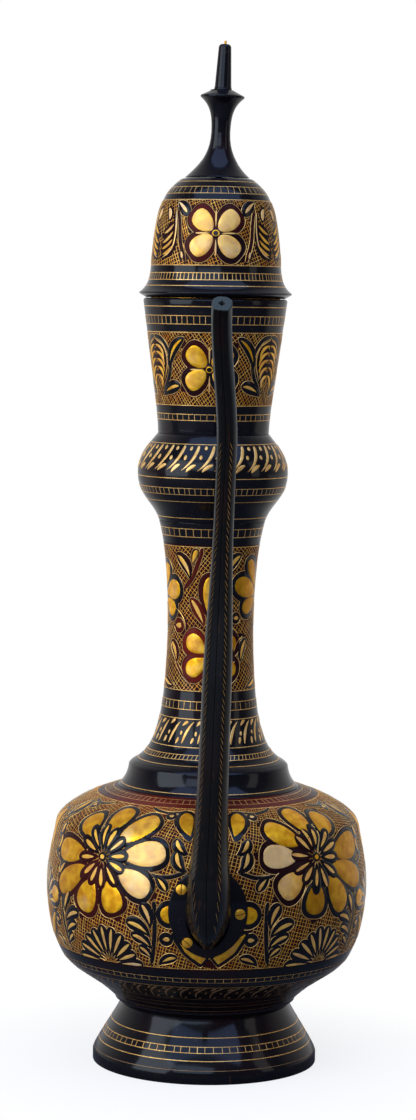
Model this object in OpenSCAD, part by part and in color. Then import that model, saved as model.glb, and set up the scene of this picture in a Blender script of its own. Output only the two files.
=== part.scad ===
// Surahi: a tall lidded ewer built from turned brass sections, with a cast spout
// and a cast handle screwed to its belly. Lengths are millimetres.
// The origin is on the vessel's axis at the table top and +Z is up.
// The spout stands along -Y and the handle along +Y.

/* [Foot] */
// Radius of the foot where it stands on the table
foot_base_r = 56.5; // [50:0.5:64]
// Height of the foot from the table to the waist
foot_h = 30; // [24:1:38]
// Height of the upright rim at the bottom of the foot
foot_rim_h = 5; // [3:0.5:8]
// Width of the flat ring that stands on the table
foot_ring_w = 6; // [4:0.5:9]
// Radius of the waist where the foot meets the belly
waist_r = 42.5; // [38:0.5:48]

/* [Belly] */
// Largest radius of the belly
belly_r = 80.6; // [76:0.2:90]
// Height of the plain bowl under the engraved drum
bowl_h = 27; // [22:1:34]
// Radius at the seam between bowl and drum
seam_r = 73.5; // [66:0.5:75]
// Height from the seam to the widest ring
drum_lower_h = 34; // [29:1:42]
// Height from the widest ring to the shoulder's edge
drum_upper_h = 30.5; // [27:0.5:40]
// Radius at the shoulder's edge
shoulder_r = 76.3; // [70:0.1:78]
// Rise of the domed shoulder
shoulder_h = 18.8; // [14:0.2:24]
// Radius at which the shoulder goes under the collar
shoulder_top_r = 45; // [44:0.5:50]

/* [Neck] */
// Height of the black collar on the shoulder
collar_h = 12.2; // [9:0.2:18]
// How far the collar's foot stands out past the shoulder's flat
collar_lap = 0.5; // [0.2:0.1:2]
// Radius of the collar near its top
collar_top_r = 40; // [37:0.5:43]
// Chamfer round the collar's top edge
collar_edge = 1.4; // [0.6:0.2:2.4]
// Thickness of the collar's top plate
collar_plate_t = 2.4; // [1.8:0.2:4]
// Height of the neck from the collar to its narrowest ring
neck_lower_h = 68.5; // [55:0.5:85]
// Height of the neck from its narrowest ring to the knop
neck_upper_h = 53; // [42:1:65]
// Radius of the neck at its narrowest ring
neck_waist_r = 21.4; // [20:0.2:24]
// Radius of the tail that goes through collar and shoulder
neck_tail_r = 25.5; // [24:0.5:28]
// How far the tail reaches below the shoulder's wall
neck_tail_drop = 3; // [1:0.5:6]
// Radius at the joint between neck and knop
neck_top_r = 26.6; // [26:0.2:29]
// Height from that joint to the knop's widest ring
knop_lower_h = 24; // [18:1:30]
// Height from the knop's widest ring to the cup
knop_upper_h = 19.5; // [15:0.5:26]
// Largest radius of the knop
knop_r = 37.6; // [34:0.2:42]
// Radius at the joint between knop and cup
cup_base_r = 27.7; // [27:0.1:30]
// Height of the cup from the knop to its lip
cup_h = 67.1; // [56:0.1:80]
// Radius of the cup at its mouth
cup_mouth_r = 35.9; // [34:0.1:40]
// Rounding on the outside of the lip
lip_round = 1.3; // [0.6:0.1:1.8]
// Width of the lip, from the cup's outside to its bore
lip_w = 3.3; // [2.6:0.1:4.2]
// Depth of the straight bore inside the lip
lip_bore_h = 4; // [2:0.5:8]

/* [Lid] */
// How far the lid's thin rim stands out past the cup
lid_overhang = 2.1; // [1:0.1:4]
// Rise of the lid's underside from its seat to the rim
lid_under_h = 2; // [1:0.1:3]
// Thickness of the rim's edge
lid_edge_t = 0.6; // [0.4:0.1:1.2]
// Height of the hollow flare above the rim
lid_flare_h = 11; // [8:0.5:16]
// How far the lid's wall stands inside the cup's mouth radius
lid_draw_in = 3.3; // [2:0.1:5]
// Height of the lid's wall up to the crown
lid_wall_h = 35.5; // [28:0.5:46]
// Radius at the foot of the crown
lid_crown_r = 26.2; // [22:0.2:28]
// Height of the crown up to the finial
lid_crown_h = 10.4; // [8:0.2:13]
// Radius of the crown's flat top under the finial
lid_top_r = 16; // [13:0.5:18]
// Thickness of the crown under the finial
lid_top_t = 2.5; // [2:0.1:4]
// How far the sleeve under the lid hangs into the cup
sleeve_drop = 12; // [8:1:20]
// How far the sleeve reaches up into the lid
sleeve_grip = 5; // [3:0.5:7]
// Running clearance between the sleeve and the lip's bore
lid_clearance = 0.3; // [0.2:0.05:0.8]
// Gap under the seated lid
lid_seat_gap = 0.2; // [0.1:0.05:0.5]

/* [Finial] */
// Lean of the hand-set finial towards +X, in degrees
finial_lean = 2; // [0:0.5:4]
// Height from the crown to the stem's narrowest ring
stem_lower_h = 22.6; // [18:0.2:30]
// Height from the stem's narrowest ring to the disc
stem_upper_h = 17; // [13:0.5:22]
// Radius of the stem at its narrowest ring
stem_r = 4.6; // [4:0.1:6]
// Radius of the disc under the peg
disc_r = 10.8; // [8.5:0.1:13]
// Thickness of the disc's edge
disc_edge_t = 0.8; // [0.5:0.1:1.5]
// Rise of the disc's sloping top
disc_rise = 3; // [1.5:0.1:4]
// Height of the peg on the disc
peg_h = 22.5; // [17:0.5:30]
// Radius of the peg at its foot
peg_base_r = 4.5; // [4:0.1:5.4]
// Radius of the peg at its top
peg_top_r = 3; // [2.6:0.1:3.6]
// Radius of the tie rod that holds the finial together
rod_r = 1.8; // [1.4:0.1:2.1]
// Radius of the thin nib at the rod's top
nib_r = 0.6; // [0.4:0.1:0.9]
// How far the nib stands out of the peg
nib_out = 1.6; // [0.8:0.2:3]
// Length of the rod's threaded end inside the lid
rod_tail = 6.5; // [5.5:0.5:10]
// Radius of the washer inside the lid
washer_r = 5; // [4.2:0.2:6.5]
// Thickness of the washer
washer_t = 1; // [0.6:0.1:1.6]
// Corner radius of the six-sided nut
nut_r = 3.9; // [3.2:0.1:4.1]
// Height of the nut
nut_h = 3; // [2:0.2:4]

/* [Spout and handle] */
// Half width of spout and handle at the belly
root_half_w = 11; // [9.5:0.1:11.4]
// Half height of spout and handle where they meet the belly
root_half_h = 17.5; // [15:0.5:18]
// Height of the upright part above the pivot of the lower bend
bend_rise = 4.5; // [3.5:0.5:7]
// Distance from the bend's pivot to the spout's middle at the top of the bend
bend_reach = 19; // [17:0.5:23]
// Half width of spout and handle at the top of the lower bend
bend_half_w = 9.8; // [8.4:0.1:10.4]
// Half depth of spout and handle at the top of the lower bend
bend_half_d = 10.4; // [9:0.2:12]
// Width of the flat front face, as a share of the whole width
front_share = 0.72; // [0.6:0.02:0.84]
// Width of the front face at the spout's root, where it narrows to a keel, as a share
root_front_share = 0.26; // [0.24:0.02:0.5]
// Sideways reach of the hand-set spout's lean, towards +X
spout_sway = 7.5; // [0:0.5:9]
// How far the spout's tip is bent back from that lean
spout_return = 5.4; // [0:0.2:7]
// Share of the spout's run at which its tip starts to bend back
spout_return_at = 0.74; // [0.6:0.02:0.84]
// Turn of the spout's front face towards -X, in degrees
spout_twist = 7; // [0:1:10]
// Share of the spout's run over which its foot flares out
spout_flare = 0.09; // [0.04:0.005:0.1]
// Half width of the spout's even middle part
spout_mid_w = 6.9; // [5.8:0.1:7.4]
// Half width of the spout at its slimmest point
spout_slim_w = 4.8; // [4.4:0.1:5.6]
// Half width of the spout at its tip
spout_tip_w = 4.9; // [4.6:0.1:6.5]
// Share of the spout's run at which it starts to draw in
spout_draw_at = 0.32; // [0.2:0.02:0.4]
// Share of the spout's run at which it is slimmest
spout_slim_at = 0.62; // [0.5:0.02:0.8]
// Distance of the spout's slim part from the neck's axis
spout_slim_out = 83; // [78:1:92]
// Distance of the spout's tip from the neck's axis
spout_tip_out = 97; // [90:1:108]
// Depth of the spout's tip below the cup's lip
spout_tip_drop = 2.5; // [0:0.5:10]
// Outward lean of the spout's tip, in degrees
spout_tip_lean = 43; // [20:1:50]
// Half diagonal of the square bore at the spout's tip
bore_tip = 1.9; // [1.4:0.1:2.6]
// Half diagonal of the square bore at the spout's root
bore_root = 5.4; // [4:0.2:6.5]
// Depth of the groove along the seam between the spout's halves
seam_groove = 0.5; // [0.2:0.1:0.9]
// Half width of the handle's slim upper part
handle_slim_w = 6; // [5:0.2:7]
// Half depth of the handle's slim upper part
handle_slim_d = 5.2; // [4.4:0.2:6]
// Height on the cup at which the handle's upper end is fixed
handle_top_at = 33; // [29:1:37]
// Distance of the handle's upper bend from the axis
handle_top_out = 78; // [72:1:90]
// Radius of the handle's upper bend
handle_top_bend = 20; // [16:1:26]

/* [Plates and screws] */
// Half width of the leaf-shaped plate on the belly
plate_half_w = 18.7; // [16.5:0.2:20]
// Half height of the leaf-shaped plate on the belly
plate_half_h = 22.5; // [22:0.5:27]
// Thickness of the plates
plate_t = 2.6; // [2:0.1:3.4]
// Height of the raised seat on a plate
seat_h = 1.2; // [0.8:0.1:2]
// Half width of the small plate on the cup
cup_plate_half_w = 9.5; // [8.5:0.5:12]
// Half height of the small plate on the cup
cup_plate_half_h = 17; // [16:0.5:19]
// Radius of a belly screw's head
screw_head_r = 2.5; // [2:0.1:2.8]
// Radius of a cup screw's head
cup_screw_head_r = 2; // [1.6:0.1:2.2]
// Thickness of a screw's head
screw_head_t = 1.4; // [1:0.1:2]
// Depth to which a head is let into its plate
screw_sink = 0.6; // [0.5:0.1:0.9]
// Radius of a screw's shank
screw_shank_r = 1.4; // [1:0.1:1.5]
// Length of a screw's shank under its head
screw_len = 5.6; // [5:0.2:7]
// Width of a screw's slot
slot_w = 0.7; // [0.4:0.1:1]
// Depth of a screw's slot
slot_depth = 0.7; // [0.4:0.1:0.9]

/* [Walls and fits] */
// Wall of the turned sections
wall = 1.6; // [1.2:0.1:2]
// Floor of the belly
floor_t = 2.2; // [1.6:0.1:3]
// Depth of the soldered spigots
spigot_h = 4.5; // [3:0.5:6]
// Gap in a soldered or screwed joint
solder_gap = 0.05; // [0.03:0.01:0.1]
// Extra landing beside the wall at a joint between sections
land_extra = 0.3; // [0.2:0.1:0.5]

/* [Hidden] */
$fn = 96;
black_lacquer = [0.06, 0.06, 0.08];
engraved_brass = [0.55, 0.42, 0.16];
bare_brass = [0.83, 0.62, 0.22];

// Heights of the joints, from the table up
z_waist = foot_h;
z_seam = z_waist + bowl_h;
z_widest = z_seam + drum_lower_h;
z_shoulder = z_widest + drum_upper_h;
z_collar = z_shoulder + shoulder_h;
z_neck = z_collar + collar_h;
z_neck_waist = z_neck + neck_lower_h;
z_knop = z_neck_waist + neck_upper_h;
z_knop_widest = z_knop + knop_lower_h;
z_cup = z_knop_widest + knop_upper_h;
z_lip = z_cup + cup_h;
z_lid = z_lip + lid_seat_gap;
z_flare = z_lid + lid_under_h + lid_edge_t;
z_lid_wall = z_flare + lid_flare_h;
z_crown = z_lid_wall + lid_wall_h;
z_stem = z_crown + lid_crown_h;
z_stem_waist = z_stem + stem_lower_h;
z_disc = z_stem_waist + stem_upper_h;
z_peg = z_disc + disc_edge_t + disc_rise;
z_peg_top = z_peg + peg_h;

// Radii that follow from the pieces they fit
joint_land = wall + land_extra;
foot_socket_r = waist_r - wall;
foot_spigot_r = foot_socket_r - solder_gap;
collar_base_r = shoulder_top_r + collar_lap;
neck_base_r = collar_top_r - collar_edge;
mouth_r = cup_mouth_r - lip_w;
sleeve_r = mouth_r - lid_clearance;
lid_foot_r = cup_mouth_r - lip_round;
lid_rim_r = cup_mouth_r + lid_overhang;
lid_wall_r = cup_mouth_r - lid_draw_in;
rod_bore_r = rod_r + solder_gap;
shank_bore_r = screw_shank_r + solder_gap;

// Point lists
function reversed(points) = [for (i = [len(points) - 1 : -1 : 0]) points[i]];

function rest_of(points) = [for (i = [1 : len(points) - 1]) points[i]];

// Cubic curve from a to b. Its two handles are shares of the step from a to b.
curve_steps = 10;
function curve(a, b, leave, arrive, steps = curve_steps) =
    let (
        step = b - a,
        p = a + [leave.x * step.x, leave.y * step.y],
        q = b - [arrive.x * step.x, arrive.y * step.y]
    )
    [for (i = [0 : steps])
        let (t = i / steps, u = 1 - t)
        u ^ 3 * a + 3 * u ^ 2 * t * p + 3 * u * t ^ 2 * q + t ^ 3 * b];

// A rising profile moved inwards along its own normals
function inset(points, depth) =
    let (last = len(points) - 1)
    [for (i = [0 : last])
        let (t = points[min(i + 1, last)] - points[max(i - 1, 0)])
        points[i] + depth / norm(t) * [-t.y, t.x]];

function between(points, low, high) = [for (p = points) if (p.y > low && p.y < high) p];

function slimmer(points, limit) = [for (p = points) if (p.x < limit) p];

function widened(points, by) = [for (p = points) [p.x + by, p.y]];

function radius_at(points, z) = lookup(z, [for (p = points) [p.y, p.x]]);

// Outside profiles of the turned sections, as [radius, height]
foot_side = curve([foot_base_r, foot_rim_h], [waist_r, z_waist], [0.07, 0.16], [0.14, 0.2]);
bowl_side = curve([waist_r, z_waist], [seam_r, z_seam], [0.45, 0.6], [0.15, 0.35]);
drum_side = concat(
    curve([seam_r, z_seam], [belly_r, z_widest], [0.28, 0.12], [0, 0.56]),
    rest_of(curve([belly_r, z_widest], [shoulder_r, z_shoulder], [0, 0.43], [0.3, 0.28]))
);
shoulder_side = curve([shoulder_r, z_shoulder], [shoulder_top_r, z_collar], [0.03, 0.35], [0.54, 0.26]);
belly_side = concat(drum_side, rest_of(shoulder_side));
collar_side = curve(
    [collar_base_r, z_collar], [collar_top_r, z_neck - collar_edge], [0.54, 0.18], [0.09, 0.42]
);
neck_side = concat(
    curve([neck_base_r, z_neck], [neck_waist_r, z_neck_waist], [0.67, 0.08], [0.05, 0.71]),
    rest_of(curve([neck_waist_r, z_neck_waist], [neck_top_r, z_knop], [0, 0.42], [0.65, 0.23]))
);
knop_side = concat(
    curve([neck_top_r, z_knop], [knop_r, z_knop_widest], [0.26, 0.38], [0, 0.52]),
    rest_of(curve([knop_r, z_knop_widest], [cup_base_r, z_cup], [0, 0.44], [0.48, 0.31]))
);
cup_side = curve([cup_base_r, z_cup], [cup_mouth_r, z_lip - lip_round], [0, 0.15], [0.41, 0.38]);
lid_flare_side = curve([lid_rim_r, z_flare], [lid_wall_r, z_lid_wall], [0.56, 0.19], [0.07, 0.49]);
lid_wall_side = curve([lid_wall_r, z_lid_wall], [lid_crown_r, z_crown], [0.14, 0.32], [0.67, 0.17]);
lid_crown_side = curve([lid_crown_r, z_crown], [lid_top_r, z_stem], [0.06, 0.25], [0.33, 0.08]);
lid_side = concat(lid_flare_side, rest_of(lid_wall_side), rest_of(lid_crown_side));
stem_side = concat(
    curve([lid_top_r, z_stem], [stem_r, z_stem_waist], [0.48, 0.22], [0, 0.51]),
    rest_of(curve([stem_r, z_stem_waist], [disc_r, z_disc], [0, 0.59], [0.69, 0.21]))
);

module turned(points) {
    rotate_extrude() polygon(points);
}

// Foot: a flared ring that stands on its rim and takes the belly's spigot
module foot() {
    z_socket = z_waist - spigot_h - land_extra;
    hollow = between(inset(foot_side, wall), foot_rim_h, z_socket);
    color(black_lacquer) turned(concat(
        [[foot_base_r - foot_ring_w, 0], [foot_base_r, 0]],
        foot_side,
        [[foot_socket_r, z_waist], [foot_socket_r, z_socket]],
        reversed(hollow)
    ));
}

// Lower belly: the plain bowl, with a floor, a spigot below and a tongue at the seam
module belly_lower() {
    tongue_r = seam_r - joint_land - solder_gap;
    tongue_inner_r = tongue_r - wall;
    hollow = slimmer(between(inset(bowl_side, wall), z_waist + floor_t, z_seam), tongue_inner_r);
    color(black_lacquer) turned(concat(
        [
            [0, z_waist],
            [foot_spigot_r - wall, z_waist],
            [foot_spigot_r - wall, z_waist - spigot_h],
            [foot_spigot_r, z_waist - spigot_h],
            [foot_spigot_r, z_waist]
        ],
        bowl_side,
        [
            [tongue_r, z_seam],
            [tongue_r, z_seam + spigot_h],
            [tongue_inner_r, z_seam + spigot_h]
        ],
        reversed(hollow),
        [[hollow[0].x, z_waist + floor_t], [0, z_waist + floor_t]]
    ));
}

// Upper belly: the engraved drum and shoulder, drilled for the spout and the screws
module belly_upper() {
    hole_r = neck_tail_r + solder_gap;
    hollow = between(inset(belly_side, wall), z_seam, z_collar - wall);
    color(engraved_brass) difference() {
        turned(concat(
            belly_side,
            [[hole_r, z_collar], [hole_r, z_collar - wall]],
            reversed(hollow),
            [[seam_r - joint_land, z_seam]]
        ));
        liquid_way();
        belly_screw_places() shank_bore();
        mirror([0, 1, 0]) belly_screw_places() shank_bore();
    }
}

// Collar: a hollow black step between shoulder and neck
module shoulder_collar() {
    bore_r = neck_tail_r + solder_gap;
    z_plate = z_neck - collar_plate_t;
    hollow = between(inset(collar_side, wall), z_collar, z_plate);
    color(black_lacquer) turned(concat(
        collar_side,
        [
            [neck_base_r, z_neck],
            [bore_r, z_neck],
            [bore_r, z_plate],
            [collar_top_r - wall - land_extra, z_plate]
        ],
        reversed(hollow),
        [[collar_base_r - joint_land, z_collar]]
    ));
}

// Neck: a slender waisted tube with a tail through the collar and a spigot for the knop
module neck_column() {
    tail_inner_r = neck_tail_r - wall;
    z_tail = z_collar - wall - neck_tail_drop;
    spigot_r = neck_top_r - joint_land - solder_gap;
    hollow = slimmer(between(inset(neck_side, wall), z_neck, z_knop), min(tail_inner_r, spigot_r - wall));
    color(engraved_brass) turned(concat(
        [[tail_inner_r, z_tail], [neck_tail_r, z_tail], [neck_tail_r, z_neck]],
        neck_side,
        [
            [spigot_r, z_knop],
            [spigot_r, z_knop + spigot_h],
            [spigot_r - wall, z_knop + spigot_h]
        ],
        reversed(hollow)
    ));
}

// Knop: the hollow bead between neck and cup
module neck_knop() {
    hollow = between(inset(knop_side, wall), z_knop, z_cup);
    color(black_lacquer) turned(concat(
        knop_side,
        [[cup_base_r - joint_land, z_cup]],
        reversed(hollow),
        [[neck_top_r - joint_land, z_knop]]
    ));
}

// Cup: the conical mouth, with a rounded lip whose bore guides the lid's sleeve
module neck_cup() {
    spigot_r = cup_base_r - joint_land - solder_gap;
    lip_steps = 4;
    lip_arc = [for (i = [1 : lip_steps])
        let (a = 90 * i / lip_steps)
        [cup_mouth_r - lip_round * (1 - cos(a)), z_lip - lip_round * (1 - sin(a))]];
    hollow = between(inset(cup_side, wall), z_cup + spigot_h, z_lip - lip_bore_h - wall);
    color(engraved_brass) difference() {
        turned(concat(
            [[spigot_r - wall, z_cup - spigot_h], [spigot_r, z_cup - spigot_h], [spigot_r, z_cup]],
            cup_side,
            lip_arc,
            [[mouth_r, z_lip], [mouth_r, z_lip - lip_bore_h]],
            reversed(hollow)
        ));
        cup_screw_places() shank_bore();
    }
}

// The finial stands in its own leaning frame, turned about the middle of the crown's curve
module leaning() {
    pivot = [0, 0, z_crown - lid_crown_h];
    translate(pivot) rotate([0, finial_lean, 0]) translate(-pivot) children();
}

// Lid: a spun dome with a thin flared rim, closed on top under the finial
module lid_dome() {
    sleeve_bore_r = sleeve_r + solder_gap;
    z_grip = z_lid + sleeve_grip + land_extra;
    z_ceiling = z_stem - lid_top_t - land_extra;
    overlap = lid_top_t;
    hollow = between(slimmer(inset(lid_side, wall), sleeve_bore_r), z_grip, z_ceiling);
    crown_end = lid_side[len(lid_side) - 1];
    color(engraved_brass) difference() {
        turned(concat(
            [[sleeve_bore_r, z_lid], [lid_foot_r, z_lid], [lid_rim_r, z_lid + lid_under_h]],
            lid_side,
            [crown_end + overlap * [-1, 1], [0, crown_end.y + overlap], [0, z_ceiling]],
            [[hollow[len(hollow) - 1].x, z_ceiling]],
            reversed(hollow),
            [[sleeve_bore_r, z_grip]]
        ));
        leaning() translate([0, 0, z_stem]) cylinder(r = lid_crown_r, h = 2 * overlap);
        leaning() translate([0, 0, z_crown]) cylinder(r = rod_bore_r, h = lid_crown_h + overlap);
        leaning() translate([0, 0, z_crown])
            cylinder(r = washer_r + land_extra, h = lid_crown_h - lid_top_t);
    }
}

// Sleeve: the plain ring soldered inside the lid that keeps it on the cup
module lid_sleeve() {
    color(bare_brass) difference() {
        translate([0, 0, z_lid - sleeve_drop]) cylinder(r = sleeve_r, h = sleeve_drop + sleeve_grip);
        translate([0, 0, z_lid - sleeve_drop - wall])
            cylinder(r = sleeve_r - wall, h = sleeve_drop + sleeve_grip + 2 * wall);
    }
}

// Finial stem: a trumpet that flows out of the crown, with a thin disc on top
module finial_stem() {
    disc_top_r = peg_base_r + land_extra;
    color(black_lacquer) leaning() turned(concat(
        [[rod_bore_r, z_stem]],
        stem_side,
        [[disc_r, z_disc + disc_edge_t], [disc_top_r, z_peg], [rod_bore_r, z_peg]]
    ));
}

// Peg: the tapered tip, closed on top but for the nib's hole
module finial_peg() {
    round_r = peg_top_r * 0.6;
    round_steps = 4;
    foot_flare = (peg_base_r - peg_top_r) * 0.4;
    z_shoulder_inside = z_peg_top - 2 * peg_top_r;
    round_arc = [for (i = [1 : round_steps])
        let (a = 90 * i / round_steps)
        [peg_top_r - round_r * (1 - cos(a)), z_peg_top - round_r * (1 - sin(a))]];
    color(black_lacquer) leaning() turned(concat(
        [[rod_bore_r, z_peg]],
        curve([peg_base_r, z_peg], [peg_base_r - foot_flare, z_peg + peg_top_r], [0.6, 0.2], [0.1, 0.5], 4),
        [[peg_top_r, z_peg_top - round_r]],
        round_arc,
        [
            [nib_r + solder_gap, z_peg_top],
            [nib_r + solder_gap, z_shoulder_inside],
            [rod_bore_r, z_shoulder_inside]
        ]
    ));
}

// Tie rod: threaded below, drawn down to a thin nib that shows above the peg
module finial_rod() {
    z_bottom = z_stem - lid_top_t - rod_tail;
    z_shoulder_inside = z_peg_top - 2 * peg_top_r - solder_gap;
    color(bare_brass) leaning() turned([
        [0, z_bottom],
        [rod_r, z_bottom],
        [rod_r, z_shoulder_inside],
        [nib_r, z_shoulder_inside],
        [nib_r, z_peg_top + nib_out],
        [0, z_peg_top + nib_out]
    ]);
}

module finial_washer() {
    color(bare_brass) leaning() translate([0, 0, z_stem - lid_top_t - washer_t]) difference() {
        cylinder(r = washer_r, h = washer_t);
        translate([0, 0, -washer_t]) cylinder(r = rod_bore_r, h = 3 * washer_t);
    }
}

module finial_nut() {
    color(bare_brass) leaning() translate([0, 0, z_stem - lid_top_t - washer_t - nut_h]) difference() {
        cylinder(r = nut_r, h = nut_h, $fn = 6);
        translate([0, 0, -nut_h]) cylinder(r = rod_bore_r, h = 3 * nut_h);
    }
}

// Plates and screws.
// Places are [across, up] from a plate's middle, and the screw slots' turns in degrees.
belly_screws = [[-12.5, 10.5, 90], [15, -0.8, 15], [-9.4, -14.6, -40]];
cup_screws = [[0, 12.6, 20], [0, -12.6, 75]];
z_handle_top = z_cup + handle_top_at;
seat_out = belly_r + solder_gap + plate_t + seat_h;
cup_seat_out = radius_at(cup_side, z_handle_top + cup_plate_half_h) + solder_gap + plate_t;

// Puts children on a plate's face, with their +Z pointing out of the vessel along -Y
module on_face(side, z, across) {
    r = radius_at(side, z) + solder_gap + plate_t;
    rotate([0, 0, asin(across / r)]) translate([0, -r, z]) rotate([90, 0, 0]) children();
}

module belly_screw_places() {
    for (s = belly_screws) on_face(belly_side, z_widest + s[1], s[0]) rotate([0, 0, s[2]]) children();
}

module cup_screw_places() {
    for (s = cup_screws)
        mirror([0, 1, 0]) on_face(cup_side, z_handle_top + s[1], s[0]) rotate([0, 0, s[2]]) children();
}

module shank_bore() {
    translate([0, 0, -screw_sink - screw_len - wall]) cylinder(r = shank_bore_r, h = screw_len + 2 * wall);
}

module head_recess(head_r) {
    translate([0, 0, -screw_sink]) cylinder(r = head_r + solder_gap, h = plate_t);
}

// A slotted screw whose head stands on z = -screw_sink
module screw(head_r) {
    translate([0, 0, -screw_sink]) difference() {
        union() {
            cylinder(r = head_r, h = screw_head_t);
            translate([0, 0, -screw_len]) cylinder(r = screw_shank_r, h = screw_len + screw_head_t / 2);
        }
        translate([-head_r - slot_w, -slot_w / 2, screw_head_t - slot_depth])
            cube([2 * (head_r + slot_w), slot_w, slot_depth + slot_w]);
    }
}

// Leaf outline with two points, standing in the XZ plane and reaching out along -Y
module leaf_prism(half_w, half_h, reach) {
    arc_r = (half_w ^ 2 + half_h ^ 2) / (2 * half_w);
    rotate([90, 0, 0]) intersection() {
        translate([half_w - arc_r, 0, 0]) cylinder(r = arc_r, h = reach);
        translate([arc_r - half_w, 0, 0]) cylinder(r = arc_r, h = reach);
    }
}

module oval_prism(half_w, half_h, reach) {
    sides = 40;
    rotate([90, 0, 0]) linear_extrude(reach)
        polygon([for (i = [0 : sides - 1]) [half_w * cos(360 * i / sides), half_h * sin(360 * i / sides)]]);
}

// Solid of revolution under a stretch of a profile, used to shape a plate to the wall it sits on
module core(side, low, high) {
    stretch = between(side, low, high);
    turned(concat([[0, stretch[0].y]], stretch, [[0, stretch[len(stretch) - 1].y]]));
}

// A leaf plate bent to the belly, with a flat oval seat for the spout or the handle
module belly_plate() {
    margin = plate_half_h + wall;
    low = z_widest - margin;
    high = z_widest + margin;
    difference() {
        union() {
            intersection() {
                translate([0, 0, z_widest]) leaf_prism(plate_half_w, plate_half_h, seat_out);
                core(widened(belly_side, solder_gap + plate_t), low - wall, high + wall);
            }
            translate([0, 0, z_widest]) oval_prism(root_half_w, root_half_h, seat_out);
        }
        core(widened(belly_side, solder_gap), low - 2 * wall, high + 2 * wall);
        belly_screw_places() shank_bore();
        belly_screw_places() head_recess(screw_head_r);
    }
}

// The round bore from the belly into the spout, its seam turned away from the widest ring
module liquid_way() {
    translate([0, 0, z_widest]) rotate([90, 30, 0]) cylinder(r = bore_root, h = 2 * belly_r);
}

module spout_plate() {
    color(black_lacquer) difference() {
        belly_plate();
        liquid_way();
    }
}

module spout_screws() {
    color(bare_brass) belly_screw_places() screw(screw_head_r);
}

module handle_lower_plate() {
    color(black_lacquer) mirror([0, 1, 0]) belly_plate();
}

module handle_lower_screws() {
    color(bare_brass) mirror([0, 1, 0]) belly_screw_places() screw(screw_head_r);
}

module handle_upper_plate() {
    margin = cup_plate_half_h + wall;
    low = z_handle_top - margin;
    high = z_handle_top + margin;
    color(black_lacquer) difference() {
        mirror([0, 1, 0]) union() {
            intersection() {
                translate([0, 0, z_handle_top])
                    leaf_prism(cup_plate_half_w, cup_plate_half_h, cup_seat_out);
                core(widened(cup_side, solder_gap + plate_t), low - 4 * wall, high + 4 * wall);
            }
            translate([0, 0, z_handle_top]) oval_prism(handle_slim_w, handle_end_h, cup_seat_out);
        }
        core(widened(cup_side, solder_gap), low - 5 * wall, high + 5 * wall);
        cup_screw_places() shank_bore();
        cup_screw_places() head_recess(cup_screw_head_r);
    }
}

module handle_upper_screws() {
    color(bare_brass) cup_screw_places() screw(cup_screw_head_r);
}

// Spout and handle.
// A station is [distance out, height, turn of the run in degrees, half width, half depth,
// share of the front face, sway towards +X, twist of the front towards -X in degrees].
// Turn 0 runs straight out of the vessel and turn 90 straight up.
pivot_out = seat_out;
z_pivot = z_widest + root_half_h + bend_rise;
root_reach = root_half_h + bend_rise;
handle_end_h = handle_slim_d + 1;

function blend(a, b, t) = a + (b - a) * t;
function eased(t) = t * t * (3 - 2 * t);

// The lower bend fans about a pivot above the root, from the plate's face to level
bend_steps = 9;
lower_bend = [for (i = [0 : bend_steps])
    let (t = i / bend_steps, a = 90 * t, reach = blend(root_reach, bend_reach, t))
    [
        pivot_out + reach * sin(a),
        z_pivot - reach * cos(a),
        a,
        blend(root_half_w, bend_half_w, eased(t)),
        blend(root_half_h, bend_half_d, eased(t))
    ]];

// On the spout the front narrows to a keel at the root and twists over the bend
spout_bend = [for (i = [0 : bend_steps])
    let (t = eased(i / bend_steps))
    concat(lower_bend[i], [blend(root_front_share, front_share, t), 0, spout_twist * t])];

function heading(points, i) =
    let (
        last = len(points) - 1,
        t = points[min(i + 1, last)] - points[max(i - 1, 0)]
    )
    atan2(t.y, t.x);

// The spout rises from the bend, draws in to its slim part and leans out at the tip
spout_tip = [spout_tip_out, z_lip - spout_tip_drop];
spout_slim = [spout_slim_out, blend(z_pivot, spout_tip.y, spout_slim_at)];
bend_end = [pivot_out + bend_reach, z_pivot];
tip_handle = 20;
spout_lower = curve(bend_end, spout_slim, [0, 0.3], [0.06, 0.4], 18);
spout_upper_p = spout_slim + [-0.5, 0.45 * (spout_tip.y - spout_slim.y)];
spout_upper_q = spout_tip - tip_handle * [sin(spout_tip_lean), cos(spout_tip_lean)];
spout_upper = [for (i = [0 : 14])
    let (t = i / 14, u = 1 - t)
    u ^ 3 * spout_slim + 3 * u ^ 2 * t * spout_upper_p + 3 * u * t ^ 2 * spout_upper_q + t ^ 3 * spout_tip];
spout_run = concat(spout_lower, rest_of(spout_upper));

function clamped(t) = max(0, min(1, t));

function spout_half_w(t) =
    let (
        drawn = clamped((t - spout_draw_at) / (spout_slim_at - spout_draw_at)),
        opened = clamped((t - spout_slim_at) / (1 - spout_slim_at)),
        middle = blend(spout_mid_w, spout_slim_w, eased(drawn)),
        foot = (bend_half_w - spout_mid_w) * exp(-t / spout_flare),
        tip = (spout_tip_w - spout_slim_w) * eased(opened)
    )
    middle + foot + tip;

// The spout leans aside over its whole run and is bent back near the tip
function sway_at(t) =
    let (back = clamped((t - spout_return_at) / (1 - spout_return_at)))
    spout_sway * t - spout_return * eased(back);

spout_stations = concat(
    spout_bend,
    [for (i = [1 : len(spout_run) - 1])
        let (
            t = (spout_run[i].y - z_pivot) / (spout_tip.y - z_pivot),
            w = spout_half_w(t),
            deep = bend_half_d / bend_half_w
        )
        [
            spout_run[i].x,
            spout_run[i].y,
            i == len(spout_run) - 1 ? 90 - spout_tip_lean : heading(spout_run, i),
            w,
            w * blend(deep, 1, clamped(2 * t)),
            front_share,
            sway_at(t),
            spout_twist
        ]]
);

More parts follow.
